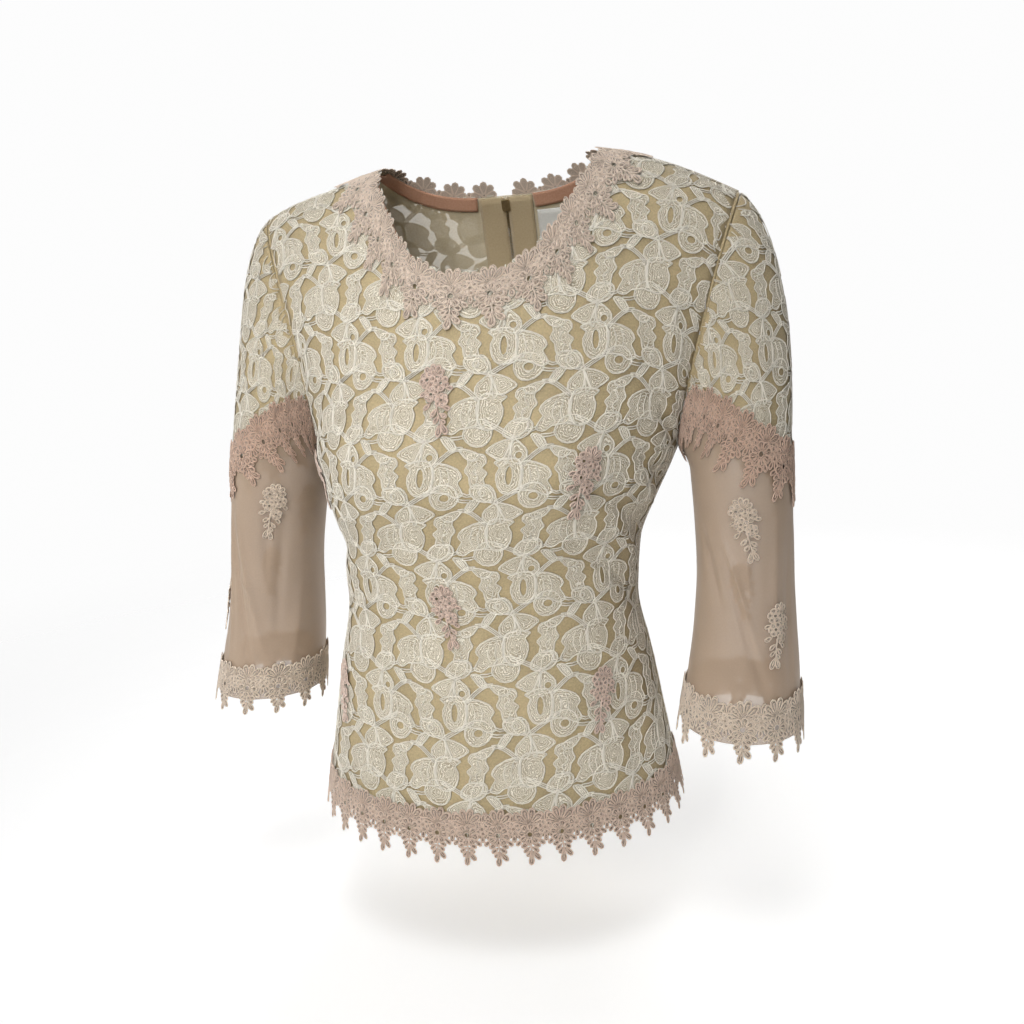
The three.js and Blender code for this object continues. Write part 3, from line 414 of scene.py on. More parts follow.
# Yoke columns run from outer edge to neck edge; the body below the armpit line has straight rows.
def yoke_place(side, column, row):
    """Across and share at a yoke column (0 to YOKE_COLUMNS) and row (0 outer edge, 1 neck edge)."""
    column, row = np.broadcast_arrays(np.asarray(column, float), np.asarray(row, float))
    middle = YOKE_COLUMNS / 2
    from_middle = np.abs(column - middle) - ACROSS_CELLS / 2
    foot_across = np.clip(-1 + 2 * (column - ARMHOLE_CELLS) / ACROSS_CELLS, -1, 1)
    foot_share = np.where(
        from_middle <= 0, ARMPIT, ARMPIT + (1 - ARMPIT) * np.clip(from_middle, 0, None) / ARMHOLE_CELLS
    )
    angle = (column / YOKE_COLUMNS - 0.5) * math.pi
    head_across = NECK_ACROSS * np.sign(angle) * np.abs(np.sin(angle)) ** NECK_POWER
    head_share = ARMPIT + (1 - ARMPIT) * (
        1 - (1 - NECK_LOW[side]) * np.maximum(0, np.cos(angle)) ** NECK_POWER
    )
    across = foot_across + (head_across - foot_across) * row
    share = foot_share + (head_share - foot_share) * row
    return across, np.minimum(share, TOP_SHARE)


def panel_grids(side, first=0.0, last=float(YOKE_COLUMNS), fine=5, rows=(52, 22), top=1.0):
    """The (across, share) grids of a panel between two yoke columns: its body and its yoke."""
    low, high = max(first, ARMHOLE_CELLS), min(last, YOKE_COLUMNS - ARMHOLE_CELLS)
    columns = np.linspace(low, high, int(round((high - low) * fine)) + 1)
    shares = np.linspace(0, ARMPIT, rows[0] + 1)
    body = np.meshgrid(-1 + 2 * (columns - ARMHOLE_CELLS) / ACROSS_CELLS, shares)
    columns = np.linspace(first, last, int(round((last - first) * fine)) + 1)
    yoke = yoke_place(side, columns[None, :], np.linspace(0, top, rows[1] + 1)[:, None])
    return [body, yoke]


class Flat:
    """The flat pattern of a cloth: where its own two numbers lie on the table, in millimetres."""

    def __init__(self, cloth):
        if cloth in NECK_LOW:
            self.a, self.b = np.linspace(-1, 1, 121), np.linspace(0, 1, 161)
        else:
            self.a, self.b = np.linspace(0, 2 * math.pi, 121), np.linspace(0, 2, 121)
        grid = plain(cloth, self.a[None, :], self.b[:, None])
        self.u, self.v = run_along(grid.transpose(1, 0, 2)).T, run_along(grid)
        self.u = self.u - self.u[:, [len(self.a) // 2]]
        if cloth in NECK_LOW:
            self.v -= self.v[[int(np.argmin(np.abs(self.b - ARMPIT)))], :]
        else:
            _, _, height = armhole(self.a)
            self.v = height - SHOULDER[2] - self.v
        if cloth in ("back", "right"):  # so that u, v and outwards are right-handed
            self.u = -self.u

    def __call__(self, a, b):
        """(u, v) in millimetres, read between the pattern's own points."""
        a, b = np.broadcast_arrays(np.asarray(a, float), np.asarray(b, float))
        i = (a - self.a[0]) / (self.a[1] - self.a[0])
        j = (b - self.b[0]) / (self.b[1] - self.b[0])
        i0 = np.clip(np.floor(i).astype(int), 0, len(self.a) - 2)
        j0 = np.clip(np.floor(j).astype(int), 0, len(self.b) - 2)
        x, y = i - i0, j - j0
        found = []
        for t in (self.u, self.v):
            low = t[j0, i0] * (1 - x) + t[j0, i0 + 1] * x
            high = t[j0 + 1, i0] * (1 - x) + t[j0 + 1, i0 + 1] * x
            found.append(low * (1 - y) + high * y)
        return found


# ---------------------------------------------------------------- meshes


def add_object(name, data):
    made = bpy.data.objects.new(name, data)
    bpy.context.scene.collection.objects.link(made)
    return made


def new_mesh_object(name, points, faces):
    """A mesh object from points in millimetres."""
    mesh = bpy.data.meshes.new(name)
    mesh.from_pydata((np.asarray(points, float) * MM).tolist(), [], [list(map(int, f)) for f in faces])
    mesh.update()
    return add_object(name, mesh)


def put_points(mesh, name, kind, values):
    """An attribute with one value, or one vector, for each point."""
    field = "vector" if kind == "FLOAT_VECTOR" else "value"
    values = np.array(values, np.int32 if kind == "INT" else np.float32).ravel()
    mesh.attributes.new(name, kind, "POINT").data.foreach_set(field, values)


def smooth(made):
    made.data.polygons.foreach_set("use_smooth", [True] * len(made.data.polygons))
    return made


def hide(made):
    made.hide_render = made.hide_viewport = True
    return made


def grid_faces(rows, columns, start=0):
    r, c = np.meshgrid(np.arange(rows - 1), np.arange(columns - 1), indexing="ij")
    a = start + (r * columns + c).ravel()
    return np.stack([a, a + 1, a + columns + 1, a + columns], 1)


def put_corner_map(mesh, per_vertex, around=None):
    """The flat map: one (u, v) for each vertex, in metres of flat cloth.

    around is how far round a tube each vertex's row goes, so that the faces that close it don't run back."""
    layer = mesh.uv_layers.new(name="cut")
    index = np.zeros(len(mesh.loops), int)
    mesh.loops.foreach_get("vertex_index", index)
    corner = np.asarray(per_vertex, float)[index]
    if around is not None:
        starts, totals = np.zeros(len(mesh.polygons), int), np.zeros(len(mesh.polygons), int)
        mesh.polygons.foreach_get("loop_start", starts)
        mesh.polygons.foreach_get("loop_total", totals)
        first = np.repeat(corner[starts, 0], totals)
        turn = np.asarray(around, float)[index]
        corner[:, 0] += np.round((first - corner[:, 0]) / turn) * turn
    layer.data.foreach_set("uv", (corner * MM).astype(np.float32).ravel())


def cloth_base(name, grids):
    """A hidden base for laying motifs, from grids of (points, normals, u, v)."""
    faces, start = [], 0
    for _, _, u, _ in grids:
        faces.append(grid_faces(*u.shape, start))
        start += u.size
    points, normals = [np.concatenate([g[i].reshape(-1, 3) for g in grids]) for i in (0, 1)]
    maps = np.concatenate([np.stack([u.ravel(), v.ravel()], 1) for _, _, u, v in grids])
    made = new_mesh_object(name, points, np.concatenate(faces))
    put_corner_map(made.data, maps)
    put_points(made.data, "out", "FLOAT_VECTOR", normals)
    return hide(made)


def shell(name, grids, outer, inner, closed=False):
    """A closed thin wall over one or more grids of (points, normals, u, v), merged where they meet."""
    known, points, normals, maps, cells, around = {}, [], [], [], [], []
    for place, normal, u, v in grids:
        rows, columns = u.shape
        turns = (u[:, -1] - u[:, 0]) * columns / (columns - 1)
        index = np.zeros((rows, columns), int)
        for r, c in np.ndindex(rows, columns):
            key = tuple(np.round(place[r, c], 2))
            if key not in known:
                known[key] = len(points)
                points.append(place[r, c])
                normals.append(normal[r, c])
                maps.append((u[r, c], v[r, c]))
                around.append(turns[r])
            index[r, c] = known[key]
        for r, c in np.ndindex(rows - 1, columns if closed else columns - 1):
            d = (c + 1) % columns
            cell = [index[r, c], index[r, d], index[r + 1, d], index[r + 1, c]]
            if len(set(cell)) > 2:
                cells.append(list(dict.fromkeys(cell)))
    points, normals = np.array(points), np.array(normals)
    skin = len(points)
    faces, edges = [], {}
    for cell in cells:
        faces += [cell, [skin + i for i in reversed(cell)]]
        for i, j in zip(cell, cell[1:] + cell[:1]):
            if (j, i) in edges:
                del edges[(j, i)]
            else:
                edges[(i, j)] = True
    faces += [[j, i, skin + i, skin + j] for i, j in edges]
    made = new_mesh_object(name, np.concatenate([points + normals * outer, points + normals * inner]), faces)
    first = np.array(cells[len(cells) // 2][:3])
    if np.cross(*(points[first[1:]] - points[first[0]])) @ normals[first[0]] < 0:
        made.data.flip_normals()
    put_corner_map(made.data, np.array(maps + maps), around + around if closed else None)
    return smooth(made)


def rope(name, courses, radius, sides=6):
    """Closed round cords along courses of points in millimetres, as one mesh."""
    points, faces, maps = [], [], []
    for course in courses:
        run = unit(np.gradient(course, axis=0))
        away = unit(np.cross(run, [0.31, 0.57, 0.76]))
        other = np.cross(run, away)
        length = run_along(course)
        start = len(points)
        for k, s in np.ndindex(len(course), sides):
            turn = 2 * math.pi * s / sides
            points.append(course[k] + radius * (away[k] * math.cos(turn) + other[k] * math.sin(turn)))
            maps.append((s * radius, length[k]))
        for k, s in np.ndindex(len(course) - 1, sides):
            t = (s + 1) % sides
            a = start + k * sides
            faces.append((a + s, a + t, a + sides + t, a + sides + s))
        last = start + (len(course) - 1) * sides
        faces += [tuple(start + s for s in reversed(range(sides))), tuple(last + s for s in range(sides))]
    made = new_mesh_object(name, points, faces)
    put_corner_map(made.data, maps)
    return smooth(made)


# ---------------------------------------------------------------- thread motifs


def smooth_line(points, closed, tolerance=0.17, longest=6.0):
    """A soft curve through charted points, kept to as few points as its bends need."""
    p = np.array(points, float)
    n = len(p)
    if n < 3:
        return p
    dense = []
    for i in range(n if closed else n - 1):
        if closed:
            a, b, c, d = p[i - 1], p[i], p[(i + 1) % n], p[(i + 2) % n]
        else:
            a, b, c, d = p[max(i - 1, 0)], p[i], p[i + 1], p[min(i + 2, n - 1)]
        for u in np.linspace(0, 1, 8, endpoint=False):
            bend = 2 * a - 5 * b + 4 * c - d
            dense.append(0.5 * (2 * b + (c - a) * u + bend * u**2 + (3 * b - a - 3 * c + d) * u**3))
    dense.append(p[0] if closed else p[-1])
    dense = np.array(dense)
    kept, i = [0], 0
    while i < len(dense) - 1:
        j = i + 1
        while j + 1 < len(dense):
            chord = dense[j + 1] - dense[i]
            length = np.hypot(*chord)
            between = dense[i + 1 : j + 1] - dense[i]
            away = np.abs(between[:, 0] * chord[1] - between[:, 1] * chord[0]) / max(length, 1e-9)
            if length > longest or away.max() > tolerance:
                break
            j += 1
        kept.append(j)
        i = j
    return dense[kept[:-1] if closed else kept]


def round_points(x, y, across, high=None, count=8):
    turn = np.linspace(0, 2 * math.pi, count, endpoint=False)
    return np.stack([x + across * np.cos(turn), y + (high or across) * np.sin(turn)], 1)


PETAL = ((0, 0), (0.3, 0.3), (0.62, 0.5), (0.9, 0.36), (1, 0), (0.9, -0.36), (0.62, -0.5), (0.3, -0.3))
STITCH_GAP = 1.9  # between the lines of stitches in a fill


class Motif:
    """Embroidery drawn flat in millimetres: raised cords and thin netted fills."""

    def __init__(self, cord, tolerance=0.17):
        self.points, self.faces, self.thread, self.echo, self.soft = [], [], [], [], []
        self.cord, self.tolerance = cord, tolerance

    def _add(self, points, faces, thread, echo):
        start = len(self.points)
        self.points += [tuple(p) for p in points]
        self.faces += [tuple(start + i for i in f) for f in faces]
        self.thread += [thread] * len(points)
        self.echo += echo
        self.soft += [thread == 1.0] * len(faces)

    def line(self, points, closed=False, level=0.0, radius=None, sharp=False):
        """A raised cord, three-sided, with its flat side on the cloth."""
        radius = radius or self.cord
        line = np.array(points, float) if sharp else smooth_line(points, closed, self.tolerance)
        n = len(line)
        course = np.roll(line, -1, 0) - np.roll(line, 1, 0)
        if not closed:
            course[0], course[-1] = line[1] - line[0], line[-1] - line[-2]
        course = unit(course)
        side = np.stack([-course[:, 1], course[:, 0]], 1) * radius
        low, high = level, level + 1.7 * radius
        ring = []
        for p, s in zip(line, side):
            ring += [(p[0] + s[0], p[1] + s[1], low), (p[0], p[1], high), (p[0] - s[0], p[1] - s[1], low)]
        faces = []
        for i in range(n if closed else n - 1):
            j = (i + 1) % n
            for k, m in ((0, 1), (1, 2), (2, 0)):
                faces.append((3 * i + k, 3 * i + m, 3 * j + m, 3 * j + k))
        if not closed:
            faces += [(2, 1, 0), (3 * n - 3, 3 * n - 2, 3 * n - 1)]
        self._add(ring, faces, 1.0, [0.0] * len(ring))

    def fill(self, outline, level=0.0, dome=0.1, hole=None, thread=0.0):
        """A thin patch with an eyelet if hole is (x, y, half, half).

        It is open net at thread 0 and satin stitch at 0.5. Its echo counts the lines of stitches that
        follow its outline, inwards from 0."""
        line = np.array(outline, float) if thread else smooth_line(outline, True, self.tolerance * 2, 8.0)
        n = len(line)
        area = np.sum(line[:, 0] * np.roll(line[:, 1], -1) - np.roll(line[:, 0], -1) * line[:, 1])
        if area < 0:
            line = line[::-1]
        ring = [(x, y, level + 0.15) for x, y in line]
        onward = [(i, (i + 1) % n) for i in range(n)]
        if hole is None:
            inner = line.mean(0)
            ring += [(*inner, level + 0.15 + dome), (*inner, level)]
            faces = [(i, j, n) for i, j in onward] + [(j, i, n + 1) for i, j in onward]
        else:
            turn = np.arctan2(line[:, 1] - hole[1], line[:, 0] - hole[0])
            inner = np.stack([hole[0] + hole[2] * np.cos(turn), hole[1] + hole[3] * np.sin(turn)], 1)
            ring += [(x, y, level + 0.2) for x, y in inner] + [(x, y, level) for x, y in inner]
            faces = []
            for i, j in onward:
                a, b, c, d = n + i, n + j, 2 * n + i, 2 * n + j
                faces += [(i, j, b, a), (a, b, d, c), (c, d, j, i)]
        reach = np.hypot(*(line - inner).T).mean() / STITCH_GAP
        self._add(ring, faces, thread, [0.0] * n + [reach] * (len(ring) - n))

    def patch(self, outline, hole=None, level=0.0):
        """A netted shape with a cord round it, and one round its eyelet."""
        outline = np.array(outline, float)
        outline = outline.mean(0) + (outline - outline.mean(0)) * 1.1
        self.fill(outline, level, hole=hole)
        self.line(outline, closed=True, level=level + 0.1)
        if hole is not None:
            self.line(round_points(*hole), closed=True, level=level + 0.15, radius=self.cord * 0.9)

    def loop(self, x, y, angle, length, width, level=0.0, rib=False, full=0.5):
        """A petal or leaf from its foot at (x, y), pointing at angle in degrees."""
        c, s = math.cos(angle * DEGREE), math.sin(angle * DEGREE)
        place = lambda a, b: (x + c * a * length - s * b * width, y + s * a * length + c * b * width)
        outline = [place(*p) for p in PETAL]
        self.line(outline, closed=True, level=level, sharp=True)
        self.fill(outline, level, 0.25, thread=full)
        if rib:
            self.line([place(0.15, 0), place(0.75, 0)], level=level + 0.35, radius=self.cord * 0.8)

    def fan(self, x, y, reach, petals, turn=90, spread=150, level=0.0, width=5.0, full=0.5):
        """Petals spread out from one foot, the middle ones longest."""
        foot = 0.12 * reach
        for i in range(petals):
            share = i / (petals - 1) * 2 - 1
            angle = turn + share * spread / 2
            long = reach * (1 - 0.14 * share * share + 0.06 * math.sin(5.1 * i + turn))
            px, py = x + foot * math.cos(angle * DEGREE), y + foot * math.sin(angle * DEGREE)
            self.loop(px, py, angle, long - foot, width, level + (i % 2) * 0.35, True, full)

    def rosette(self, x, y, reach, petals, turn=90, level=0.0):
        """Small petals all round an eyelet."""
        eye = 0.27 * reach
        width = 2 * reach * 0.8 * math.sin(math.pi / petals) * 0.95
        for i in range(petals):
            angle = turn + 360 * i / petals
            px, py = x + eye * math.cos(angle * DEGREE), y + eye * math.sin(angle * DEGREE)
            self.loop(px, py, angle, reach - eye, width, level + (i % 2) * 0.25, rib=reach > 7)
        self.line(round_points(x, y, eye, count=7), closed=True, level=level + 0.5, sharp=True)

    def sprig(self, drops, level=0.0, stem=None):
        """Drop-shaped leaves, each (x, y, angle, size), and their stem."""
        if stem:
            self.line(stem, level=level + 0.2, radius=self.cord * 1.2)
        for x, y, angle, size in drops:
            self.loop(x, y, angle, 5.0 * size, 2.6 * size**0.7, level, rib=size > 1.7)

    def mirrored(self):
        """The same work the other way round."""
        other = Motif(self.cord)
        other.points = [(-x, y, z) for x, y, z in self.points]
        other.faces = [tuple(reversed(f)) for f in self.faces]
        other.thread, other.echo, other.soft = self.thread, self.echo, self.soft
        return other

    def build(self, name):
        made = new_mesh_object(name, self.points, self.faces)
        put_points(made.data, "thread", "FLOAT", self.thread)
        put_points(made.data, "echo", "FLOAT", self.echo)
        soft = [s and p.normal.z > -0.7 for s, p in zip(self.soft, made.data.polygons)]
        made.data.polygons.foreach_set("use_smooth", soft)  # patches and undersides stay flat
        return hide(made)


# The lace's repeat, charted in millimetres round one knot: it fills half a repeat in height, and every
# other row is its mirror image.
LACE_WIDTH = 70.5
LACE_ROW = 49.5
LACE_SHIFT = -16
LACE_DRIFT = 5.5
RISING_LEAF = ((1, 1.5), (1.4, 8), (5, 12.8), (9.6, 13.8), (13.2, 10), (11.6, 4.2), (6, 0.6))
FAN_LEAF = (
    *((-1, -1), (-10, -2.6), (-17, -6.2), (-19.8, -9.6)),
    *((-15, -13.2), (-9.4, -15.8), (-6.4, -13.6), (-2.8, -6.4)),
)
FAN_BLADE = ((-0.9, -2), (-3.6, -8), (-6, -15.4), (-3.2, -17.6), (-1.8, -9))
RING_LEAF = ((0.8, -1.6), (6, -4.4), (10.6, -9.4), (10.4, -14.8), (6, -18.2), (1.4, -17.2), (-0.8, -10))
VINE_ROSETTE = (
    *((31.6, 2.4), (37.6, -3.8), (46, -4.6), (51.2, 0.2)),
    *((52, 7.4), (46.4, 13.8), (38, 13.8), (32.6, 8.6)),
)
LENS_LEAF = ((29, -7.4), (36, -8.2), (44, -12.2), (39, -15.8), (33, -13.4))
SLANTING_BOX = ((13.6, 1.6), (20.4, 1.4), (25.4, -6), (21, -7.8))
SCALLOPED_FIELD = (
    *((9.2, -19.4), (16, -18.8), (22.4, -21), (27.6, -23.8), (30.6, -29), (27.8, -33), (30, -37)),
    *((31.8, -41.8), (26.4, -43.8), (21, -40.4), (15, -39.6), (9.8, -38.4), (9, -29)),
)
RIBBON = (
    *((36.6, -12.6), (36.6, -19), (34.4, -24), (37.6, -28), (38.2, -32), (40.6, -36.4)),
    *((49.4, -36), (48.4, -30), (50.8, -26), (46.8, -22), (49.8, -18), (47.2, -13)),
)
RIBBON_LEAF = ((40.6, -36.6), (49.4, -36), (54.8, -40), (57, -46), (52, -48.6), (45, -47), (39.6, -42))
OVAL = (
    *((-9, -17), (-12.8, -19), (-8.8, -22.4), (-10.8, -27), (-10.6, -32.4), (-8.4, -37.8), (-4.6, -41)),
    *((2, -41), (5.8, -36), (7.6, -29), (7.2, -22), (4.6, -17), (-1.6, -15.8)),
)
# Each shape with its eyelet (x, y, half, half) or None, then its eyelet on the mirrored rows.
LACE_SHAPES = (
    (RISING_LEAF, None, None),
    (FAN_LEAF, None, None),
    (FAN_BLADE, None, None),
    (RING_LEAF, (5.2, -12.8, 3.2, 3.1), None),
    (VINE_ROSETTE, None, (41.8, 4.6, 4.2, 3.5)),
    (LENS_LEAF, None, None),
    (SLANTING_BOX, None, None),
    (SCALLOPED_FIELD, None, None),
    (RIBBON, None, None),
    (RIBBON_LEAF, (47.8, -41.6, 2.7, 2.2), None),
    (OVAL, (-1.4, -28.4, 3.1, 7.8), None),
)
VINE = ((8.6, -19.4), (14, -14.6), (19.6, -10), (25.4, -7), (31, -7.2))
VINE_END = ((46, 13.6), (54.6, 9.4), (63, 4.6), (70.2, 0.4))
# Open cords: their course, and how far apart a pair runs (0 for a single cord).
LACE_LINES = (
    (VINE, 2.7),
    (VINE, 0),
    (((20.4, 1.4), (26.4, 1.4), (32, 2.6)), 2.0),
    (VINE_END, 2.9),
    (VINE_END, 0),
    (((4.6, -16.4), (9, -22), (9.6, -29), (8, -36), (3, -41.6)), 0),
    (((2, -41), (9, -39.4)), 2.0),
    (((13, -20.4), (15.6, -30), (13.6, -38.4)), 0),
    (((19, -21), (21.8, -31), (18.4, -39)), 0),
    (((40, -14), (43.6, -19), (40, -25), (44.6, -29), (43, -35)), 0),
    (((31, -41.6), (36, -43.6), (41, -43)), 1.8),
)


def lace_motif(mirrored):
    m = Motif(cord=0.56, tolerance=0.22)
    for number, (outline, hole, other_hole) in enumerate(LACE_SHAPES):
        m.patch(outline, other_hole if mirrored else hole, number * 7 % 4 * 0.13)
    for course, apart in LACE_LINES:
        if apart:
            line = smooth_line(course, False, 0.2)
            run = unit(np.gradient(line, axis=0))
            side = np.stack([-run[:, 1], run[:, 0]], 1) * apart / 2
            m.line(line + side, sharp=True, level=0.15)
            m.line(line - side, sharp=True, level=0.15)
        else:
            m.line(course, level=0.2, radius=0.45)
    for share in (0.25, 0.5, 0.75):  # bars across the slanting box
        bar = ((13.6 + 6.8 * share, 1.5), (21 + 4.4 * share, -7.8 + 1.8 * share))
        m.line(bar, sharp=True, level=0.15, radius=0.42)
    m.line(round_points(0, 0, 1.7, count=6), closed=True, level=0.4)
    return m.mirrored() if mirrored else m


def galloon_motif(cord, gap):
    """The trims' shared work, 49 mm high from its scalloped top at 0: fan flowers over eyed rosettes,
    and a sprig of drop leaves under each."""
    m, half = Motif(cord), gap / 2
    m.fan(half, -16.5, 13.2, 6, spread=160)
    m.fan(0, -15, 15, 6, spread=165, level=0.7, width=5.6)
    m.fan(half, -15, 9.0, 5, turn=-90, spread=190, level=0.3, width=4.2)
    m.rosette(0, -23, 9.4, 8, turn=80, level=1.0)
    m.rosette(half, -17.5, 6.0, 6, turn=100, level=0.9)
    beside = (
        (-7.5, -20, 196, 1.5),
        (7.5, -20, -16, 1.5),
        (-6, -27, 222, 1.5),
        (6, -27, -42, 1.5),
        (half, -22, -90, 1.5),
        (half - 2.4, -21.5, -124, 1.4),
        (half + 2.4, -21.5, -56, 1.4),
    )
    hanging = (
        (-0.8, -30, 208, 1.55),
        (0.8, -30, -28, 1.55),
        (-0.6, -33.4, 222, 1.4),
        (0.8, -33.4, -42, 1.4),
        (-0.2, -36.6, 236, 1.2),
        (0.3, -39, -97, 2.0),
        (0.9, -37, -52, 1.9),
    )
    m.sprig(beside, 0.5)
    m.sprig(hanging, 0.9, ((0, -30), (0.3, -35), (0.6, -40)))
    return m


def clover_motif():
    """The neck trim's back: separate clusters of round petals that stand above the edge."""
    m = Motif(cord=0.56)
    # The big fan's petals are filled at 0.8, paler than satin: painted light for light that shines through
    # them from behind.
    m.fan(0, -12.5, 13.5, 5, spread=168, width=6.6, full=0.8)
    m.rosette(0, -15, 5.0, 6, level=0.8)
    m.fan(13.5, -15, 6.5, 5, spread=220, level=0.3, width=3.4)
    m.rosette(-6.5, -23, 7.0, 7, level=0.4)
    m.rosette(7.0, -23, 6.6, 7, turn=70, level=0.6)
    m.line(((-13.5, -17), (-6, -15), (0, -17), (6, -15), (13.5, -17)), level=0.3)
    m.sprig(((-6.5, -29, -90, 1.3), (6.5, -29, -90, 1.3), (0, -26, -90, 1.6), (13.4, -22, -90, 1.6)), 0.3)
    return m


def spray_motif():
    """A single applied spray: a tapering bunch of eyed rosettes with two long drops at its tip."""
    m = Motif(cord=0.56)
    m.fan(0.5, 20, 10.5, 5, turn=88, level=0.3, width=4.4)
    m.rosette(-5.2, 18.5, 6.8, 6, turn=60, level=0.9)
    m.rosette(5.4, 13, 6.4, 6, turn=85, level=0.7)
    m.rosette(-3.4, 6.5, 6.2, 6, turn=70, level=1.1)
    m.rosette(4.0, -0.5, 5.6, 6, turn=90, level=0.8)
    drops = (
        (8, 9, -22, 1.3),
        (-7, 10, 205, 1.3),
        (-5, 0, 214, 1.5),
        (4, -5, -38, 1.4),
        (-1, -6, 226, 1.5),
        (1.0, -10, -44, 1.4),
        (-0.4, -12, 232, 1.3),
        (0.8, -15, -48, 1.1),
        (0.2, -18, -106, 2.2),
        (1.0, -18, -70, 2.1),
    )
    m.sprig(drops, 0.5, ((0.5, 8), (-0.6, -4), (0.4, -14), (0.8, -20)))
    return m


# ---------------------------------------------------------------- node trees


def new_tree(name, kind, inputs, outputs):
    """A node group, its input node's outputs and its output node's inputs. A socket is its label, its
    kind and, if it has one, its default."""
    tree = bpy.data.node_groups.new(name, kind)
    for way, sockets in (("INPUT", inputs), ("OUTPUT", outputs)):
        for label, socket, *default in sockets:
            made = tree.interface.new_socket(label, in_out=way, socket_type="NodeSocket" + socket)
            if default:
                made.default_value = default[0]
    return tree, tree.nodes.new("NodeGroupInput").outputs, tree.nodes.new("NodeGroupOutput").inputs


def add_node(tree, kind, sockets=None, **settings):
    """A new node with its settings, and a value or a link for each input in sockets."""
    node = tree.nodes.new(kind)
    for key, value in settings.items():
        setattr(node, key, value)
    for key, value in (sockets or {}).items():
        if isinstance(value, bpy.types.NodeSocket):
            tree.links.new(value, node.inputs[key])
        else:
            node.inputs[key].default_value = value
    return node


def math_node(tree, operation, *values, clamp=False):
    sockets = dict(enumerate(values))
    return add_node(tree, "ShaderNodeMath", sockets, operation=operation, use_clamp=clamp).outputs[0]


def noise(tree, vector, scale, detail):
    sockets = {"Vector": vector, "Scale": scale, "Detail": detail}
    return add_node(tree, "ShaderNodeTexNoise", sockets).outputs["Fac"]


def blend(tree, share, low, high):
    """The colour low at share 0 and high at share 1; each is a colour or a link."""
    low, high = [(*c, 1) if isinstance(c, tuple) else c for c in (low, high)]
    return add_node(tree, "ShaderNodeMix", {0: share, 6: low, 7: high}, data_type="RGBA").outputs[2]


def ranged(tree, value, source=(0, 1), result=(0, 1), **settings):
    sockets = {"Value": value, "From Min": source[0], "From Max": source[1]}
    sockets.update({"To Min": result[0], "To Max": result[1]})
    return add_node(tree, "ShaderNodeMapRange", sockets, **settings).outputs[0]


# ---------------------------------------------------------------- laying motifs on cloth


def laying_tree():
    """Geometry Nodes: motifs on flat points, carried over to the cloth that the flat pattern covers."""
    inputs = [("Layout", "Geometry"), ("Cloth", "Object"), ("Motif", "Object"), ("Other Motif", "Object")]
    inputs += [("Lift", "Float", 0.0), ("Relief", "Float", 1.0), ("Material", "Material")]
    outputs = [("Result", "Geometry")]
    tree, start, end = new_tree("Lay Motifs On Cloth", "GeometryNodeTree", inputs, outputs)
    motifs = add_node(tree, "GeometryNodeGeometryToInstance")
    for name in ("Other Motif", "Motif"):
        motif = add_node(tree, "GeometryNodeObjectInfo", {"Object": start[name], "As Instance": True})
        tree.links.new(motif.outputs["Geometry"], motifs.inputs[0])

    def named(name, kind):
        node = add_node(tree, "GeometryNodeInputNamedAttribute", {"Name": name}, data_type=kind)
        return node.outputs["Attribute"]

    def change(kind, geometry, sockets, **settings):
        return add_node(tree, kind, {"Geometry": geometry, **sockets}, **settings).outputs[0]

    place = {
        "Points": start["Layout"],
        "Instance": motifs.outputs[0],
        "Pick Instance": True,
        "Instance Index": named("kind", "INT"),
        "Rotation": add_node(tree, "ShaderNodeCombineXYZ", {"Z": named("turn", "FLOAT")}).outputs[0],
        "Scale": named("size", "FLOAT_VECTOR"),
    }
    placed = add_node(tree, "GeometryNodeInstanceOnPoints", place).outputs[0]
    real = change("GeometryNodeRealizeInstances", placed, {})
    at = add_node(tree, "GeometryNodeInputPosition").outputs[0]
    flat = {"Name": "cut", "Value": at}
    mapped = change("GeometryNodeStoreNamedAttribute", real, flat, data_type="FLOAT2", domain="CORNER")

    cloth = add_node(tree, "GeometryNodeObjectInfo", {"Object": start["Cloth"]}).outputs["Geometry"]
    found = []
    for value in (at, named("out", "FLOAT_VECTOR")):
        read_at = {"Mesh": cloth, "Value": value, "UV Map": named("cut", "FLOAT_VECTOR"), "Sample UV": at}
        found.append(add_node(tree, "GeometryNodeSampleUVSurface", read_at, data_type="FLOAT_VECTOR").outputs)
    surface, outwards = found
    off = add_node(tree, "FunctionNodeBooleanMath", {0: surface["Is Valid"]}, operation="NOT").outputs[0]
    cut = change("GeometryNodeDeleteGeometry", mapped, {"Selection": off}, domain="POINT")

    rise = add_node(tree, "ShaderNodeSeparateXYZ", {0: at}).outputs["Z"]
    height = math_node(tree, "MULTIPLY_ADD", rise, start["Relief"], start["Lift"])
    lift = {0: outwards["Value"], "Scale": height}
    lifted = add_node(tree, "ShaderNodeVectorMath", lift, operation="SCALE").outputs[0]
    total = add_node(tree, "ShaderNodeVectorMath", {0: surface["Value"], 1: lifted}, operation="ADD")
    moved = change("GeometryNodeSetPosition", cut, {"Position": total.outputs[0]})
    tree.links.new(change("GeometryNodeSetMaterial", moved, {"Material": start["Material"]}), end[0])
    return tree


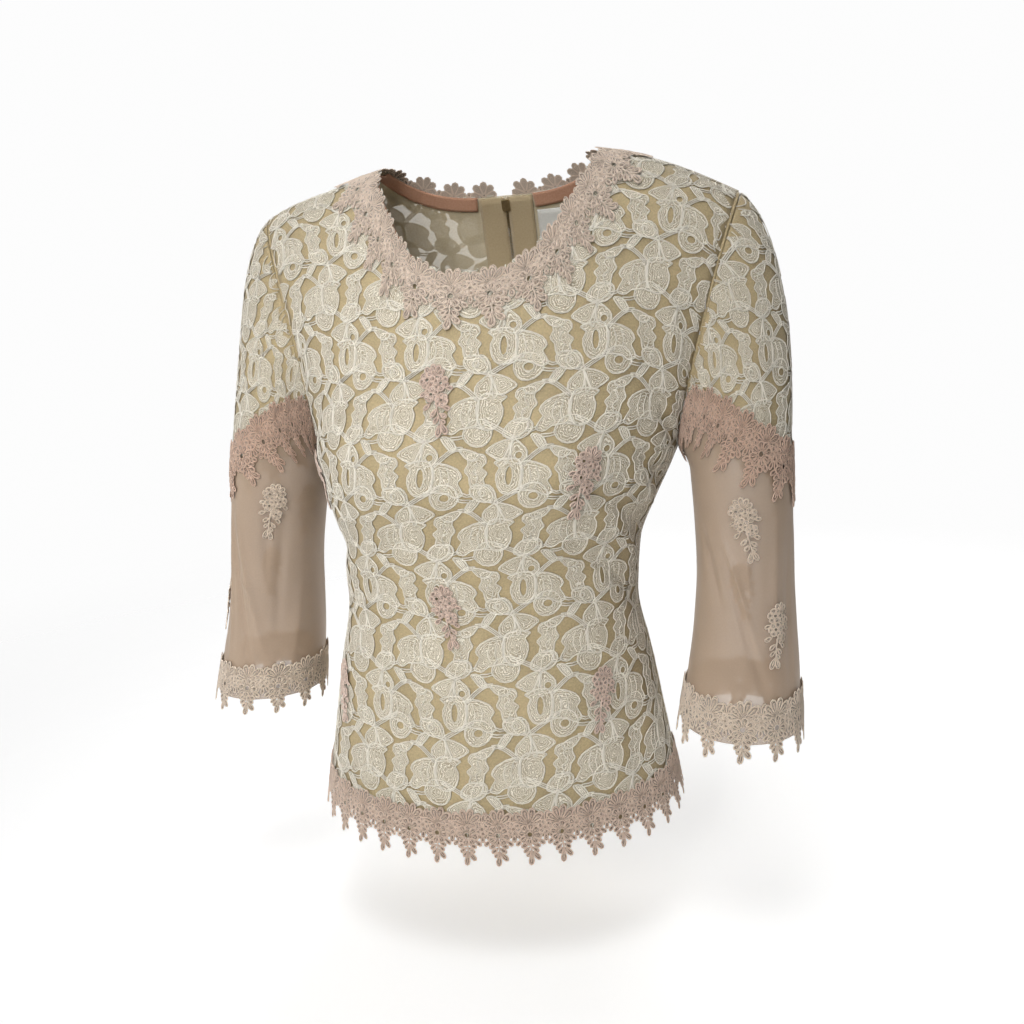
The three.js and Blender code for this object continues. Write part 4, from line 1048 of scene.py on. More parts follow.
def teeth_tree():
    """Geometry Nodes: a tooth on each point of a line, turned by the point's own frame."""
    inputs = [("Line", "Geometry"), ("Tooth", "Object"), ("Tooth Size", "Float", 1.0)]
    inputs += [("Material", "Material")]
    tree, start, end = new_tree("Teeth On Line", "GeometryNodeTree", inputs, [("Result", "Geometry")])
    tooth = add_node(tree, "GeometryNodeObjectInfo", {"Object": start["Tooth"], "As Instance": True})
    turn = add_node(tree, "GeometryNodeInputNamedAttribute", {"Name": "turn"}, data_type="FLOAT_VECTOR")
    place = {
        "Points": start["Line"],
        "Instance": tooth.outputs["Geometry"],
        "Rotation": turn.outputs["Attribute"],
        "Scale": start["Tooth Size"],
    }
    placed = add_node(tree, "GeometryNodeInstanceOnPoints", place).outputs[0]
    real = add_node(tree, "GeometryNodeRealizeInstances", {0: placed}).outputs[0]
    dress = {"Geometry": real, "Material": start["Material"]}
    tree.links.new(add_node(tree, "GeometryNodeSetMaterial", dress).outputs[0], end[0])
    return tree


def close_rims(mesh):
    """Closes the ends of threads that a panel's edge has cut, each across its shortest way."""
    work = bmesh.new()
    work.from_mesh(mesh)
    bmesh.ops.delete(work, geom=[v for v in work.verts if not v.link_faces], context="VERTS")
    flat = work.loops.layers.uv.get("cut")
    onward, place = {}, {}
    for edge in work.edges:
        if edge.is_boundary:
            known = edge.link_loops[0]
            onward.setdefault(known.link_loop_next.vert, []).append(known.vert)
            for corner in (known, known.link_loop_next) if flat else ():
                place[corner.vert] = corner[flat].uv.copy()

    def cap(*corners):
        if work.faces.get(corners) is None:
            face = work.faces.new(corners)
            for corner in face.loops if flat else ():
                corner[flat].uv = place[corner.vert]

    def close(ring):
        while len(ring) > 3:
            around = [(ring[i - 1], ring[i], ring[(i + 1) % len(ring)]) for i in range(len(ring))]
            gaps = [(before.co - after.co).length for before, _, after in around]
            i = gaps.index(min(gaps))
            cap(*around[i])
            del ring[i]
        if len(ring) == 3:
            cap(*ring)

    for start in list(onward):
        while onward[start]:
            path = [start]
            while onward[path[-1]]:
                new = onward[path[-1]].pop()
                if new in path:
                    at = path.index(new)
                    close(path[at:])
                    path = path[: at + 1]
                else:
                    path.append(new)
    work.to_mesh(mesh)
    work.free()


def plain_mesh(made):
    """The object with its evaluated mesh, and without its modifiers."""
    bpy.context.view_layer.update()
    graph = bpy.context.evaluated_depsgraph_get()
    evaluated = made.evaluated_get(graph)
    shape = bpy.data.meshes.new_from_object(evaluated, preserve_all_data_layers=True, depsgraph=graph)
    shape.name = made.name
    close_rims(shape)
    made.modifiers.clear()
    made.data = shape
    return made


def grow(name, points, attributes, tree, inputs):
    """A plain mesh that a tree makes on points in millimetres. Attributes are (name, kind, values)."""
    mesh = bpy.data.meshes.new(name)
    mesh.from_pydata((np.array(points) * MM).tolist(), [], [])
    for attribute in attributes:
        put_points(mesh, *attribute)
    made = add_object(name, mesh)
    modifier = made.modifiers.new("Grow", "NODES")
    modifier.node_group = tree
    for item in tree.interface.items_tree:
        if item.in_out == "INPUT" and item.name in inputs:
            modifier[item.identifier] = inputs[item.name]
    return plain_mesh(made)


def lay(name, node, slot, cloth, motifs, spots, lift, material, relief):
    """One piece of embroidery that stands for a solid: spots are (u, v, turn, kind, size or (sizes)),
    in millimetres and radians."""
    u, v, turns, kinds, sizes = zip(*spots)
    sizes = [s if isinstance(s, tuple) else (s,) * 3 for s in sizes]
    attributes = [("turn", "FLOAT", turns), ("kind", "INT", kinds), ("size", "FLOAT_VECTOR", sizes)]
    tree = bpy.data.node_groups.get("Lay Motifs On Cloth") or laying_tree()
    inputs = {
        "Cloth": cloth,
        "Motif": motifs[0],
        "Other Motif": motifs[-1],
        "Lift": lift * MM,
        "Relief": relief,
        "Material": finish(material),
    }
    return wear(grow(name, list(zip(u, v, (0,) * len(u))), attributes, tree, inputs), None, slot, node)


def lay_lace(node, base, knot, box):
    """A panel of lace from the flat place of one knot and the flat box that it fills."""
    spots = lattice(*knot, box)
    lay(node + "_cloth", node, "lace", base_for(base), lace_motifs(), spots, LACE_LIFT, "Ivory lace", 0.55)


def trim_motif(kind):
    return galloon_motif(TRIMS[kind]["cord"], TRIMS[kind]["step"]).build("motif_" + kind)


def trim_size(kind, gap):
    """How much a trim's flowers are stretched to meet at this gap."""
    return (gap / TRIMS[kind]["step"], TRIMS[kind]["tall"], 1)


def lay_trim(node, base, motifs, spots, material, slot="trim"):
    lay(node + "_flowers", node, slot, base, motifs, spots, TRIM_LIFT, material, TRIM_RELIEF)


# ---------------------------------------------------------------- materials


def linear(r, g, b):
    """A screen colour (0 to 255) as scene-linear values."""
    return tuple((c / 255 / 12.92 if c < 11 else ((c / 255 + 0.055) / 1.055) ** 2.4) for c in (r, g, b))


def thread_grain(tree, start, end):
    """Satin-stitch grain: fine slanting threads, broken up a little, and a net of small cells."""
    flat, threads = start["Vector"], start["Threads"]
    slanted = add_node(tree, "ShaderNodeMapping", {"Vector": flat, "Rotation": (0, 0, 0.7)}).outputs[0]
    wave = {"Vector": slanted, "Scale": threads, "Distortion": 2.2, "Detail": 2.0, "Detail Scale": 1.5}
    stripes = add_node(tree, "ShaderNodeTexWave", wave).outputs["Fac"]
    broken = noise(tree, flat, math_node(tree, "MULTIPLY", threads, 1.7), 3.0)
    tree.links.new(math_node(tree, "MULTIPLY_ADD", broken, 0.5, stripes), end["Height"])
    tree.links.new(noise(tree, flat, 55.0, 2.0), end["Tint"])
    cells = {"Vector": flat, "Scale": 1100.0, "Randomness": 0.8}
    gap = add_node(tree, "ShaderNodeTexVoronoi", cells, feature="DISTANCE_TO_EDGE").outputs["Distance"]
    tree.links.new(math_node(tree, "LESS_THAN", gap, 0.19), end["Net"])


def plain_weave(tree, start, end):
    """Over-and-under threads both ways."""
    flat, threads = start["Vector"], start["Threads"]
    split = add_node(tree, "ShaderNodeSeparateXYZ", {0: flat}).outputs
    waves = []
    for axis in ("X", "Y"):
        turned = math_node(tree, "MULTIPLY", split[axis], threads)
        waves.append(math_node(tree, "SINE", math_node(tree, "MULTIPLY", turned, 2 * math.pi)))
    both = math_node(tree, "MULTIPLY", *waves)
    uneven = noise(tree, flat, math_node(tree, "MULTIPLY", threads, 0.35), 3.0)
    tree.links.new(math_node(tree, "MULTIPLY_ADD", uneven, 0.8, both), end["Height"])
    drift = math_node(tree, "MULTIPLY", noise(tree, flat, 22.0, 3.0), 0.4)
    fleck = noise(tree, flat, 620.0, 2.0)
    tree.links.new(math_node(tree, "MULTIPLY_ADD", fleck, 0.6, drift), end["Tint"])
    tree.links.new(math_node(tree, "ABSOLUTE", both), end["Net"])


def grain_group(name):
    """The height, tint and net of a cloth's threads over its flat map."""
    tree = bpy.data.node_groups.get(name)
    if tree is None:
        inputs = [("Vector", "Vector"), ("Threads", "Float", 900.0)]
        outputs = [("Height", "Float"), ("Tint", "Float"), ("Net", "Float")]
        tree, start, end = new_tree(name, "ShaderNodeTree", inputs, outputs)
        build = thread_grain if name == "Thread Grain" else plain_weave
        build(tree, start, end)
    return tree


def embroidered(tree, flat, mesh_net, ground, cord, net):
    """The colour and cover of embroidery: cords, and lines of stitches that stray inside each shape."""
    stored = lambda name: add_node(tree, "ShaderNodeAttribute", attribute_name=name).outputs["Fac"]
    thread, echo = stored("thread"), stored("echo")
    stray = math_node(tree, "MULTIPLY_ADD", echo, 0.7, 1.5)
    waver = math_node(tree, "ADD", noise(tree, flat, 260.0, 3.0), -0.5)
    wave = math_node(tree, "PINGPONG", math_node(tree, "MULTIPLY_ADD", waver, stray, echo), 0.5)
    stitch = math_node(tree, "MULTIPLY_ADD", wave, 7.0, -1.8, clamp=True)
    cords = math_node(tree, "MULTIPLY_ADD", thread, 2.0, -1.0, clamp=True)
    raised = math_node(tree, "MAXIMUM", cords, math_node(tree, "MULTIPLY", stitch, 0.9))
    solid = math_node(tree, "MAXIMUM", math_node(tree, "MULTIPLY", thread, 2.0, clamp=True), stitch)
    open_net = math_node(tree, "MULTIPLY_ADD", mesh_net, 0.4, net)
    return blend(tree, raised, ground, cord), math_node(tree, "MAXIMUM", solid, open_net)


def cloth_material(name, low, high, grain, threads, bump, rough, alpha=None, sheen=0.2, cord=None, net=0.3):
    """A cloth finish: low and high are its colours across the drift, cord a colour for raised threads
    over a net, and alpha how much a sheer cloth hides, square on and edge on."""
    made = bpy.data.materials.new(name)
    made.use_nodes = True
    tree = made.node_tree
    shade = tree.nodes["Principled BSDF"].inputs
    flat = add_node(tree, "ShaderNodeUVMap", uv_map="cut").outputs[0]
    sockets = {"Vector": flat, "Threads": threads}
    woven = add_node(tree, "ShaderNodeGroup", sockets, node_tree=grain_group(grain)).outputs
    colour = blend(tree, ranged(tree, woven["Tint"], (0.35, 0.65)), low, high)
    if cord is not None:
        colour, cover = embroidered(tree, flat, woven["Net"], colour, cord, net)
        tree.links.new(cover, shade["Alpha"])
    tree.links.new(colour, shade["Base Color"])
    dip = {"Strength": bump, "Distance": 0.0004, "Height": woven["Height"]}
    tree.links.new(add_node(tree, "ShaderNodeBump", dip).outputs[0], shade["Normal"])
    shade["Roughness"].default_value = rough
    shade["Sheen Weight"].default_value = sheen
    shade["Sheen Roughness"].default_value = 0.5
    shade["Specular IOR Level"].default_value = 0.3
    if alpha is not None:
        facing = add_node(tree, "ShaderNodeLayerWeight", {"Blend": 0.4}).outputs["Facing"]
        tree.links.new(ranged(tree, facing, result=alpha), shade["Alpha"])
    return made


def brass_material(name):
    """Brass, dulled unevenly."""
    made = bpy.data.materials.new(name)
    made.use_nodes = True
    tree = made.node_tree
    shade = tree.nodes["Principled BSDF"].inputs
    where = add_node(tree, "ShaderNodeTexCoord").outputs["Object"]
    dull = noise(tree, where, 700.0, 4.0)
    colour = blend(tree, dull, linear(150, 132, 98), linear(196, 178, 140))
    tree.links.new(colour, shade["Base Color"])
    tree.links.new(ranged(tree, dull, result=(0.28, 0.5)), shade["Roughness"])
    shade["Metallic"].default_value = 1.0
    return made


def finish(name):
    """The blouse's finishes, each made once."""
    known = bpy.data.materials.get(name)
    if known:
        return known
    if name == "Antique brass":
        return brass_material(name)
    c = bpy.context.scene.blouse_colours
    guipure = {  # the thread's colour, and how dark the net and satin fills under it are painted: painted shade for the shadow in the gaps and holes between the raised cords
        "Pink guipure": (tuple(c.guipure), 0.28, 0.44),
        "Rose guipure": (tuple(c.trim), 0.22, 0.36),
        "Seam guipure": (tuple(c.seam_trim), 0.22, 0.36),
        "Applied rose": (linear(242, 218, 202), 0.24, 0.38),
        "Cream guipure": (tuple(c.cream), 0.26, 0.4),
    }
    if name in guipure:
        cord, *painted_net_shades = guipure[name]
        # The net's colours are the cord's colour darkened and warmed: painted shade, not the thread's own
        # tone.
        low, high = [tuple(x * by * k for x, k in zip(cord, (1, 0.9, 0.82))) for by in painted_net_shades]
        return cloth_material(name, low, high, "Thread Grain", 1500.0, 0.6, 0.8, cord=cord)
    dim = lambda colour, by: tuple(x * by for x in colour)
    weave = "Plain Weave"
    cloths = {  # two colours, grain, threads to a metre, bump and roughness
        "Ivory lace": (linear(206, 193, 165), linear(226, 214, 188), "Thread Grain", 1400.0, 0.5, 0.8),
        "Fine net": (linear(206, 192, 160), linear(222, 209, 178), weave, 1100.0, 0.2, 0.8),
        "Satin lining": (dim(c.lining, 0.76), dim(c.lining, 1.2), weave, 2600.0, 0.25, 0.55),
        "Brown organza": (dim(c.organza, 0.95), dim(c.organza, 1.04), weave, 2200.0, 0.03, 0.42),
        "Neck binding": (linear(190, 140, 112), linear(204, 158, 130), weave, 1800.0, 0.5, 0.8),
        "Zip tape": (linear(196, 174, 136), linear(206, 186, 148), weave, 1500.0, 0.7, 0.75),
        "Bare label": (linear(206, 206, 200), linear(216, 215, 209), weave, 2400.0, 0.3, 0.6),
    }
    more = {
        "Ivory lace": {"cord": tuple(c.lace), "net": 0.2},
        "Fine net": {"alpha": (0.5, 0.78)},
        "Satin lining": {"sheen": 0.1},
        "Brown organza": {"alpha": (0.5, 0.9), "sheen": 0.1},
    }
    return cloth_material(name, *cloths[name], **more.get(name, {}))


# ---------------------------------------------------------------- finishing a piece


def wear(made, material, slot, *nodes, body=BODY):
    """Gives a piece its finish, its body and the solids that it stands for."""
    if material is not None:
        made.data.materials.clear()
        made.data.materials.append(finish(material))
    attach(made, body)
    if nodes:
        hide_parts(*nodes)
    return made


def sheet(piece, grids, out, thick, material, slot, *nodes, closed=False):
    """A thin cloth over grids, its outer face out from the panels' surface, in millimetres."""
    made = shell(piece + "_cloth", grids, out, out - thick, closed)
    return wear(made, material, slot, *nodes)


FLATS = {}


def flat_of(cloth):
    if cloth not in FLATS:
        FLATS[cloth] = Flat(cloth)
    return FLATS[cloth]


def laid_grid(cloth, a, b):
    """A grid of the creased cloth with its flat map."""
    return (*cloth_at(cloth, a, b), *flat_of(cloth)(a, b))


def panel(side, **extent):
    return [laid_grid(side, *grid) for grid in panel_grids(side, **extent)]


def sleeve_grid(side, angle, low, high, rows):
    """A grid of sleeve cloth between two places down, each a number or a function of the angle."""
    low, high = [end(angle) if callable(end) else end + 0 * angle for end in (low, high)]
    share = np.linspace(0, 1, rows + 1)[:, None]
    return laid_grid(side, *np.broadcast_arrays(angle[None, :], low + (high - low) * share))


def sleeve_tube(side, low, high, rows, turns):
    return sleeve_grid(side, np.linspace(0, 2 * math.pi, turns, endpoint=False), low, high, rows)


def base_for(key):
    """The hidden cloth bases that embroidery is laid on, each made once."""
    name = "base_" + key
    known = bpy.data.objects.get(name)
    if known:
        return known
    middle, gap = YOKE_COLUMNS / 2, 0.03
    panels = {
        "front": ("front", {}),
        "back_left": ("back", {"first": middle + gap}),
        "back_right": ("back", {"last": middle - gap}),
    }
    if key in panels:
        side, extent = panels[key]
        grids = panel(side, rows=(66, 30), **extent)
    else:
        side = key.removeprefix("cap_")
        margin, end, rows = (0.35, 2, 110) if side == key else (0, seam_share, 60)
        angle = np.linspace(-margin, 2 * math.pi + margin, 97)
        grids = [sleeve_grid(side, angle, 0.003, end, rows)]
    return cloth_base(name, grids)


def drop_bases():
    for made in list(bpy.data.objects):
        if made.name.startswith(("base_", "motif_")):
            bpy.data.objects.remove(made, do_unlink=True)


# ---------------------------------------------------------------- strips along edges


def walk_in(surface, distances, step):
    """Points and normals at distances from a start row, in along the cloth, and straight out where minus.

    surface(i) gives the points and normals of the row at i steps in from the edge."""
    rows = [surface(i) for i in range(int(max(distances) / step) + 3)]
    points, normals = [np.stack(part) for part in zip(*rows)]
    run = run_along(points)
    inward = unit(points[1] - points[0])
    placed, facing = [], []
    for d in distances:
        if d <= 0:
            placed.append(points[0] + inward * d)
            facing.append(normals[0])
            continue
        for found, known in ((placed, points), (facing, normals)):
            row = np.zeros(known.shape[1:])
            for k, axis in np.ndindex(row.shape):
                row[k, axis] = np.interp(d, run[:, k], known[:, k, axis])
            found.append(row)
    return np.stack(placed), unit(np.stack(facing))


def hem_rows():
    along = np.linspace(-0.12, 2.12, 269)
    whole = np.mod(along, 2)
    front = (whole <= 1)[:, None]

    def rows(i):
        on_front = cloth_at("front", np.clip(2 * whole - 1, -1, 1), i * ROW_STEP["hem"])
        on_back = cloth_at("back", np.clip(3 - 2 * whole, -1, 1), i * ROW_STEP["hem"])
        return [np.where(front, a, b) for a, b in zip(on_front, on_back)]

    return rows, along, 2


def cuff_rows(side):
    along = np.linspace(-0.1, 1.1, 121)
    angle = 2 * math.pi * along * (1 if side == "left" else -1)
    return lambda i: cloth_at(side, angle, 2 - i * ROW_STEP["cuff"]), along, 1


def neck_rows():
    """Rows in from the neck edge, from the middle back over the right shoulder and round again."""
    middle = YOKE_COLUMNS / 2
    parts = [
        ("back", np.linspace(middle - 0.42, 0, 56)),
        ("front", np.linspace(0, YOKE_COLUMNS, 141)[1:]),
        ("back", np.linspace(YOKE_COLUMNS, middle + 0.42, 56)[1:]),
    ]

    def rows(i):
        row = 1 - i * ROW_STEP["neck"]
        found = [cloth_at(side, *yoke_place(side, columns, row)) for side, columns in parts]
        return [np.concatenate(part) for part in zip(*found)]

    return rows, np.arange(sum(len(columns) for _, columns in parts)), None


def edge_base(key, edge, out, deep):
    """A hidden base for the band along an edge, from out of it to deep in, and the edge's length.

    Its v is 0 on the edge. The hem's and the cuffs' v grows up the cloth, the neck's out of its opening."""
    surface, along, loops = edge
    distances = np.arange(-out, deep, 3.0)
    points, normals = walk_in(surface, list(distances), 3.2)
    u = run_along(points[int(np.argmin(np.abs(distances)))])
    length = u[-1]
    if loops:
        zero, one = np.interp(0, along, u), np.interp(loops, along, u)
        length = one - zero
        u = u - zero
    u_grid, v_grid = np.meshgrid(u, distances)
    grid = [points, normals, u_grid, v_grid]
    if key == "neck":  # rows from low to high, so that the flat map is the right way round
        grid = [part[::-1] for part in (points, normals, u_grid, -v_grid)]
    return cloth_base("base_" + key, [grid]), length


def evenly(length, pitch, closed=True):
    """Places along a length, as near to pitch apart as fits, and their gap."""
    count = max(1, int(round(length / pitch)))
    gap = length / count
    return [(i + (0 if closed else 0.5)) * gap for i in range(count)], gap


def back_at(x, z):
    """Across and share of the back at each x from its middle and each height."""
    across = x / 155
    for _ in range(6):
        low, high = 0 * x, 0 * x + TOP_SHARE
        for _ in range(24):
            share = (low + high) / 2
            under = plain_torso("back", across, share)[..., 2] < z
            low, high = np.where(under, share, low), np.where(under, high, share)
        middle = plain_torso("back", 0 * x, share)[..., 0]
        here = plain_torso("back", across, share)[..., 0]
        step = plain_torso("back", across + 0.01, share)[..., 0] - here
        across = across + (x - here + middle) * 0.01 / step
    return across, share


def back_patch(xs, zs):
    """A grid on the back's surface at set x and heights, with its own flat map."""
    points, normals = cloth_at("back", *back_at(*np.meshgrid(xs, zs)))
    return (points, normals, *np.meshgrid(xs, run_along(points).mean(1)))


# ---------------------------------------------------------------- sizes and colours


def length_property(name, description, millimetres):
    return bpy.props.FloatProperty(
        name=name, description=description, default=millimetres * MM, min=0.01, max=0.2, unit="LENGTH"
    )


def colour_property(name, description, r, g, b):
    return bpy.props.FloatVectorProperty(
        name=name, description=description, subtype="COLOR", size=3, min=0, max=1, default=linear(r, g, b)
    )


class BLOUSE_PG_sizes(bpy.types.PropertyGroup):
    """Sizes of the blouse's lace and trims."""

    lace_width: length_property("Lace repeat", "Width of the lace's repeat", LACE_WIDTH)
    neck_pitch: length_property("Neck pitch", "Step of the neck trim", 27)
    hem_pitch: length_property("Hem pitch", "Step of the hem trim", 25.5)
    cuff_pitch: length_property("Cuff pitch", "Step of the cuff trim", 28)
    seam_pitch: length_property("Sleeve seam pitch", "Step of the trim round a sleeve", 27.2)


class BLOUSE_PG_colours(bpy.types.PropertyGroup):
    """Colours of the blouse's cloths."""

    lace: colour_property("Lace", "Colour of the lace's raised cords", 243, 237, 223)
    lining: colour_property("Lining", "Colour of the lining", 175, 157, 120)
    organza: colour_property("Organza", "Colour of the sheer lower sleeves", 194, 171, 148)
    guipure: colour_property("Neck trim", "Colour of the neck trim's threads", 238, 219, 201)
    trim: colour_property("Hem trim", "Colour of the hem trim's threads", 236, 212, 193)
    seam_trim: colour_property("Sleeve seam trims", "Colour of the seam trims' threads", 230, 198, 176)
    cream: colour_property("Cream flowers", "Colour of the cuffs' and sleeves' flowers", 250, 232, 212)


# ---------------------------------------------------------------- operators


def lattice(offset_u, offset_v, box):
    """Spots of the lace's repeat inside a flat box (u low, u high, v low, v high)."""
    width = bpy.context.scene.blouse_sizes.lace_width / MM
    size = width / LACE_WIDTH
    row, shift, drift = LACE_ROW * size, LACE_SHIFT * size, LACE_DRIFT * size
    spots = []
    j = math.floor((offset_v - box[3]) / row) - 1
    while offset_v - j * row > box[2] - row:
        odd = j % 2
        start = offset_u + odd * shift + j * drift
        i = math.floor((box[0] - start) / width) - 1
        while start + i * width < box[1] + width:
            spots.append((start + i * width, offset_v - j * row, 0.0, odd, size))
            i += 1
        j += 1
    return spots


def lace_motifs():
    names = ("motif_lace_a", "motif_lace_b")
    if not bpy.data.objects.get(names[0]):
        for name, mirrored in zip(names, (False, True)):
            lace_motif(mirrored).build(name)
    return [bpy.data.objects[name] for name in names]


class BLOUSE_OT_front(bpy.types.Operator):
    """Front: the lace panel over its lining"""

    bl_idname = "blouse.front"
    bl_label = "Front"

    def execute(self, context):
        grids = panel("front", fine=3, rows=(44, 16), top=0.975)
        sheet("front_lining", grids, LINING_OUT, LINING_THICK, "Satin lining", "lining", "front_lining")
        lay_lace("front_lace", "front", LACE_KNOT["front"], LACE_BOX["front"])
        return {"FINISHED"}


class BLOUSE_OT_back(bpy.types.Operator):
    """Back: two lace halves on fine net that meet at the zip"""

    bl_idname = "blouse.back"
    bl_label = "Back"

    def execute(self, context):
        for half, end in (("left", "first"), ("right", "last")):
            lay_lace("back_lace_" + half, "back_" + half, LACE_KNOT["back"], LACE_BOX["back"])
            grids = panel("back", **{end: YOKE_COLUMNS / 2}, fine=3, rows=(44, 16), top=0.99)
            sheet("back_net_" + half, grids, NET_OUT, NET_THICK, "Fine net", "lace")
        return {"FINISHED"}


class BLOUSE_OT_sleeves(bpy.types.Operator):
    """Sleeves: lined lace caps and sheer lower sleeves"""

    bl_idname = "blouse.sleeves"
    bl_label = "Sleeves"

    def execute(self, context):
        for side in ("left", "right"):
            lining, sheer, lace = [f"sleeve_{cloth}_{side}" for cloth in ("lining", "sheer", "lace")]
            cap = [sleeve_tube(side, 0.02, seam_share, 26, 72)]
            sheet(lining, cap, LINING_OUT, LINING_THICK, "Satin lining", "lining", lining, closed=True)
            lower = [sleeve_tube(side, lambda angle: seam_share(angle) - 0.02, 2, 84, 132)]
            sheet(sheer, lower, SHEER_OUT, SHEER_THICK, "Brown organza", "organza", sheer, closed=True)
            lay_lace(lace, "cap_" + side, LACE_KNOT[side], LACE_BOX["sleeve"])
        return {"FINISHED"}


class BLOUSE_OT_seams(bpy.types.Operator):
    """Seams: fine corded welts at the sides and shoulders, and deep seams round the armholes"""

    bl_idname = "blouse.seams"
    bl_label = "Seams"

    def execute(self, context):
        welts, armholes = [], []
        share = np.linspace(0, ARMPIT, 60)
        across = np.linspace(NECK_ACROSS, 1, 24)
        angle = np.linspace(0, 2 * math.pi, 97)
        for way in (-1, 1):
            welts.append(cloth_points("front", way, share) + [way * 0.2, 0, 0])
            welts.append(cloth_points("front", way * across, TOP_SHARE) + [0, 0, 0.2])
        for side in ("left", "right"):
            points, normals = cloth_at(side, angle, 0.004)
            armholes.append(points - normals * 2.1)
        wear(rope("seam_welts", welts, 0.5), "Ivory lace", "lace")
        wear(rope("armhole_seams", armholes, 1.7), "Satin lining", "lining")
        return {"FINISHED"}


class BLOUSE_OT_neck(bpy.types.Operator):
    """Neck: flower trim round the edge and the binding inside it"""

    bl_idname = "blouse.neck"
    bl_label = "Neck trim and binding"

    def execute(self, context):
        base, length = edge_base("neck", neck_rows(), *EDGE_REACH["neck"])
        motifs = [trim_motif("neck"), clover_motif().build("motif_neck_back")]
        places, gap = evenly(length, context.scene.blouse_sizes.neck_pitch / MM, closed=False)
        spots = []
        for at in places:  # the back of the neck has the clover clusters, which stand above the edge
            share = at / length
            near = 0.14 if share < 0.5 else 0.17
            behind = 1 - float(ease(min(share, 1 - share), near, near + 0.05))
            top = TRIMS["neck"]["top"] + CLOVER_RISE * behind
            spots.append((at, top, 0.0, behind > 0.9, trim_size("neck", gap)))
        lay_trim("neck_trim", base, motifs, spots, "Pink guipure", "neck_trim")
        middle, short = YOKE_COLUMNS / 2, 2.5
        for name, side, start, end, count, high, low in (
            ("front", "front", 0, YOKE_COLUMNS, 103, 3.4, 13.4),
            ("back_left", "back", middle + short, YOKE_COLUMNS, 45, 0.8, 13.8),
            ("back_right", "back", 0, middle - short, 45, 0.8, 13.8),
        ):
            columns, down = np.linspace(start, end, count), np.linspace(high, low, 6)
            rows = lambda i: cloth_at(side, *yoke_place(side, columns, 1 - i * ROW_STEP["binding"]))
            points, normals = walk_in(rows, down, 0.8)
            grid = (points, normals, *np.meshgrid(run_along(points[0]), down))
            piece = "neck_binding_" + name
            sheet(piece, [grid], BINDING_OUT[side], SEWN_THICK, "Neck binding", "binding", piece)
        return {"FINISHED"}


class BLOUSE_OT_hem(bpy.types.Operator):
    """Hem: a flower band with hanging sprigs"""

    bl_idname = "blouse.hem"
    bl_label = "Hem trim"

    def execute(self, context):
        base, length = edge_base("hem", hem_rows(), *EDGE_REACH["hem"])
        motif = trim_motif("hem")
        places, gap = evenly(length, context.scene.blouse_sizes.hem_pitch / MM)
        spots = [(at, TRIMS["hem"]["top"], 0.0, 0, trim_size("hem", gap)) for at in places]
        lay_trim("hem_trim", base, [motif], spots, "Rose guipure")
        return {"FINISHED"}


class BLOUSE_OT_cuffs(bpy.types.Operator):
    """Cuffs: cream flowers with drop leaves"""

    bl_idname = "blouse.cuffs"
    bl_label = "Cuff trims"

    def execute(self, context):
        motif = trim_motif("cuff")
        for side in ("left", "right"):
            base, length = edge_base("cuff_" + side, cuff_rows(side), *EDGE_REACH["cuff"])
            places, gap = evenly(length, context.scene.blouse_sizes.cuff_pitch / MM)
            spots = [(at, TRIMS["cuff"]["top"], 0.0, 0, trim_size("cuff", gap)) for at in places]
            lay_trim("cuff_trim_" + side, base, [motif], spots, "Cream guipure")
        return {"FINISHED"}


class BLOUSE_OT_sleeve_trims(bpy.types.Operator):
    """Sleeve trims: flowers over the slanting seams"""

    bl_idname = "blouse.sleeve_trims"
    bl_label = "Sleeve seam trims"

    def execute(self, context):
        motif, rise = trim_motif("sleeve"), TRIMS["sleeve"]["top"]
        for side in ("left", "right"):
            angle = np.linspace(0, 2 * math.pi, 241)
            u, v = flat_of(side)(angle, seam_share(angle))
            if u[0] > u[-1]:
                u, v = u[::-1], v[::-1]
            run = run_along(np.stack([u, v], 1))
            places, gap = evenly(run[-1], context.scene.blouse_sizes.seam_pitch / MM, closed=False)
            spots = []
            for at in places:
                (here_u, before_u, after_u), (here_v, before_v, after_v) = [
                    np.interp([at, at - 8, at + 8], run, line) for line in (u, v)
                ]
                turn = math.atan2(after_v - before_v, after_u - before_u)
                top = (here_u - rise * math.sin(turn), here_v + rise * math.cos(turn))
                spots.append((*top, turn, 0, trim_size("sleeve", gap)))
            lay_trim("sleeve_trim_" + side, base_for(side), [motif], spots, "Seam guipure")
        return {"FINISHED"}


# Sprays: on the front and back by column and row of the yoke or the body, on a sleeve by degrees and
# down. Each row ends in the spray's size and turn.
SPRAYS = {
    "front": (
        ("yoke", 15.75, 1.8, 0.98, 0.2),
        ("body", 14.1, 6.05, 1.05, -0.25),
        ("body", 9.3, 3.1, 0.95, 0.15),
        ("body", 15.2, 1.77, 0.92, -0.15),
        ("body", 2.2, 6.1, 1.0, 0.3),
        ("body", 3.6, 1.75, 0.9, 0.2),
    ),
    "back_left": (
        ("body", 2.9, 6.0, 1.0, 0.2),
        ("body", 5.9, 3.2, 0.95, -0.2),
        ("body", 3.3, 1.52, 0.9, 0.1),
    ),
    "back_right": (
        ("body", 4.1, 5.9, 1.0, -0.2),
        ("body", 7.3, 3.65, 0.95, 0.2),
        ("body", 5.0, 1.62, 0.9, -0.1),
    ),
    "left": (
        (92, 1.185, 0.9, 0.2),
        (123, 1.595, 0.9, -0.2),
        (219, 1.245, 0.9, 0.1),
        (270, 1.555, 0.9, -0.1),
    ),
    "right": (
        (68, 1.135, 0.9, -0.2),
        (156, 1.595, 0.9, 0.2),
        (230, 1.525, 0.9, -0.1),
        (276, 1.225, 0.9, 0.1),
    ),
}


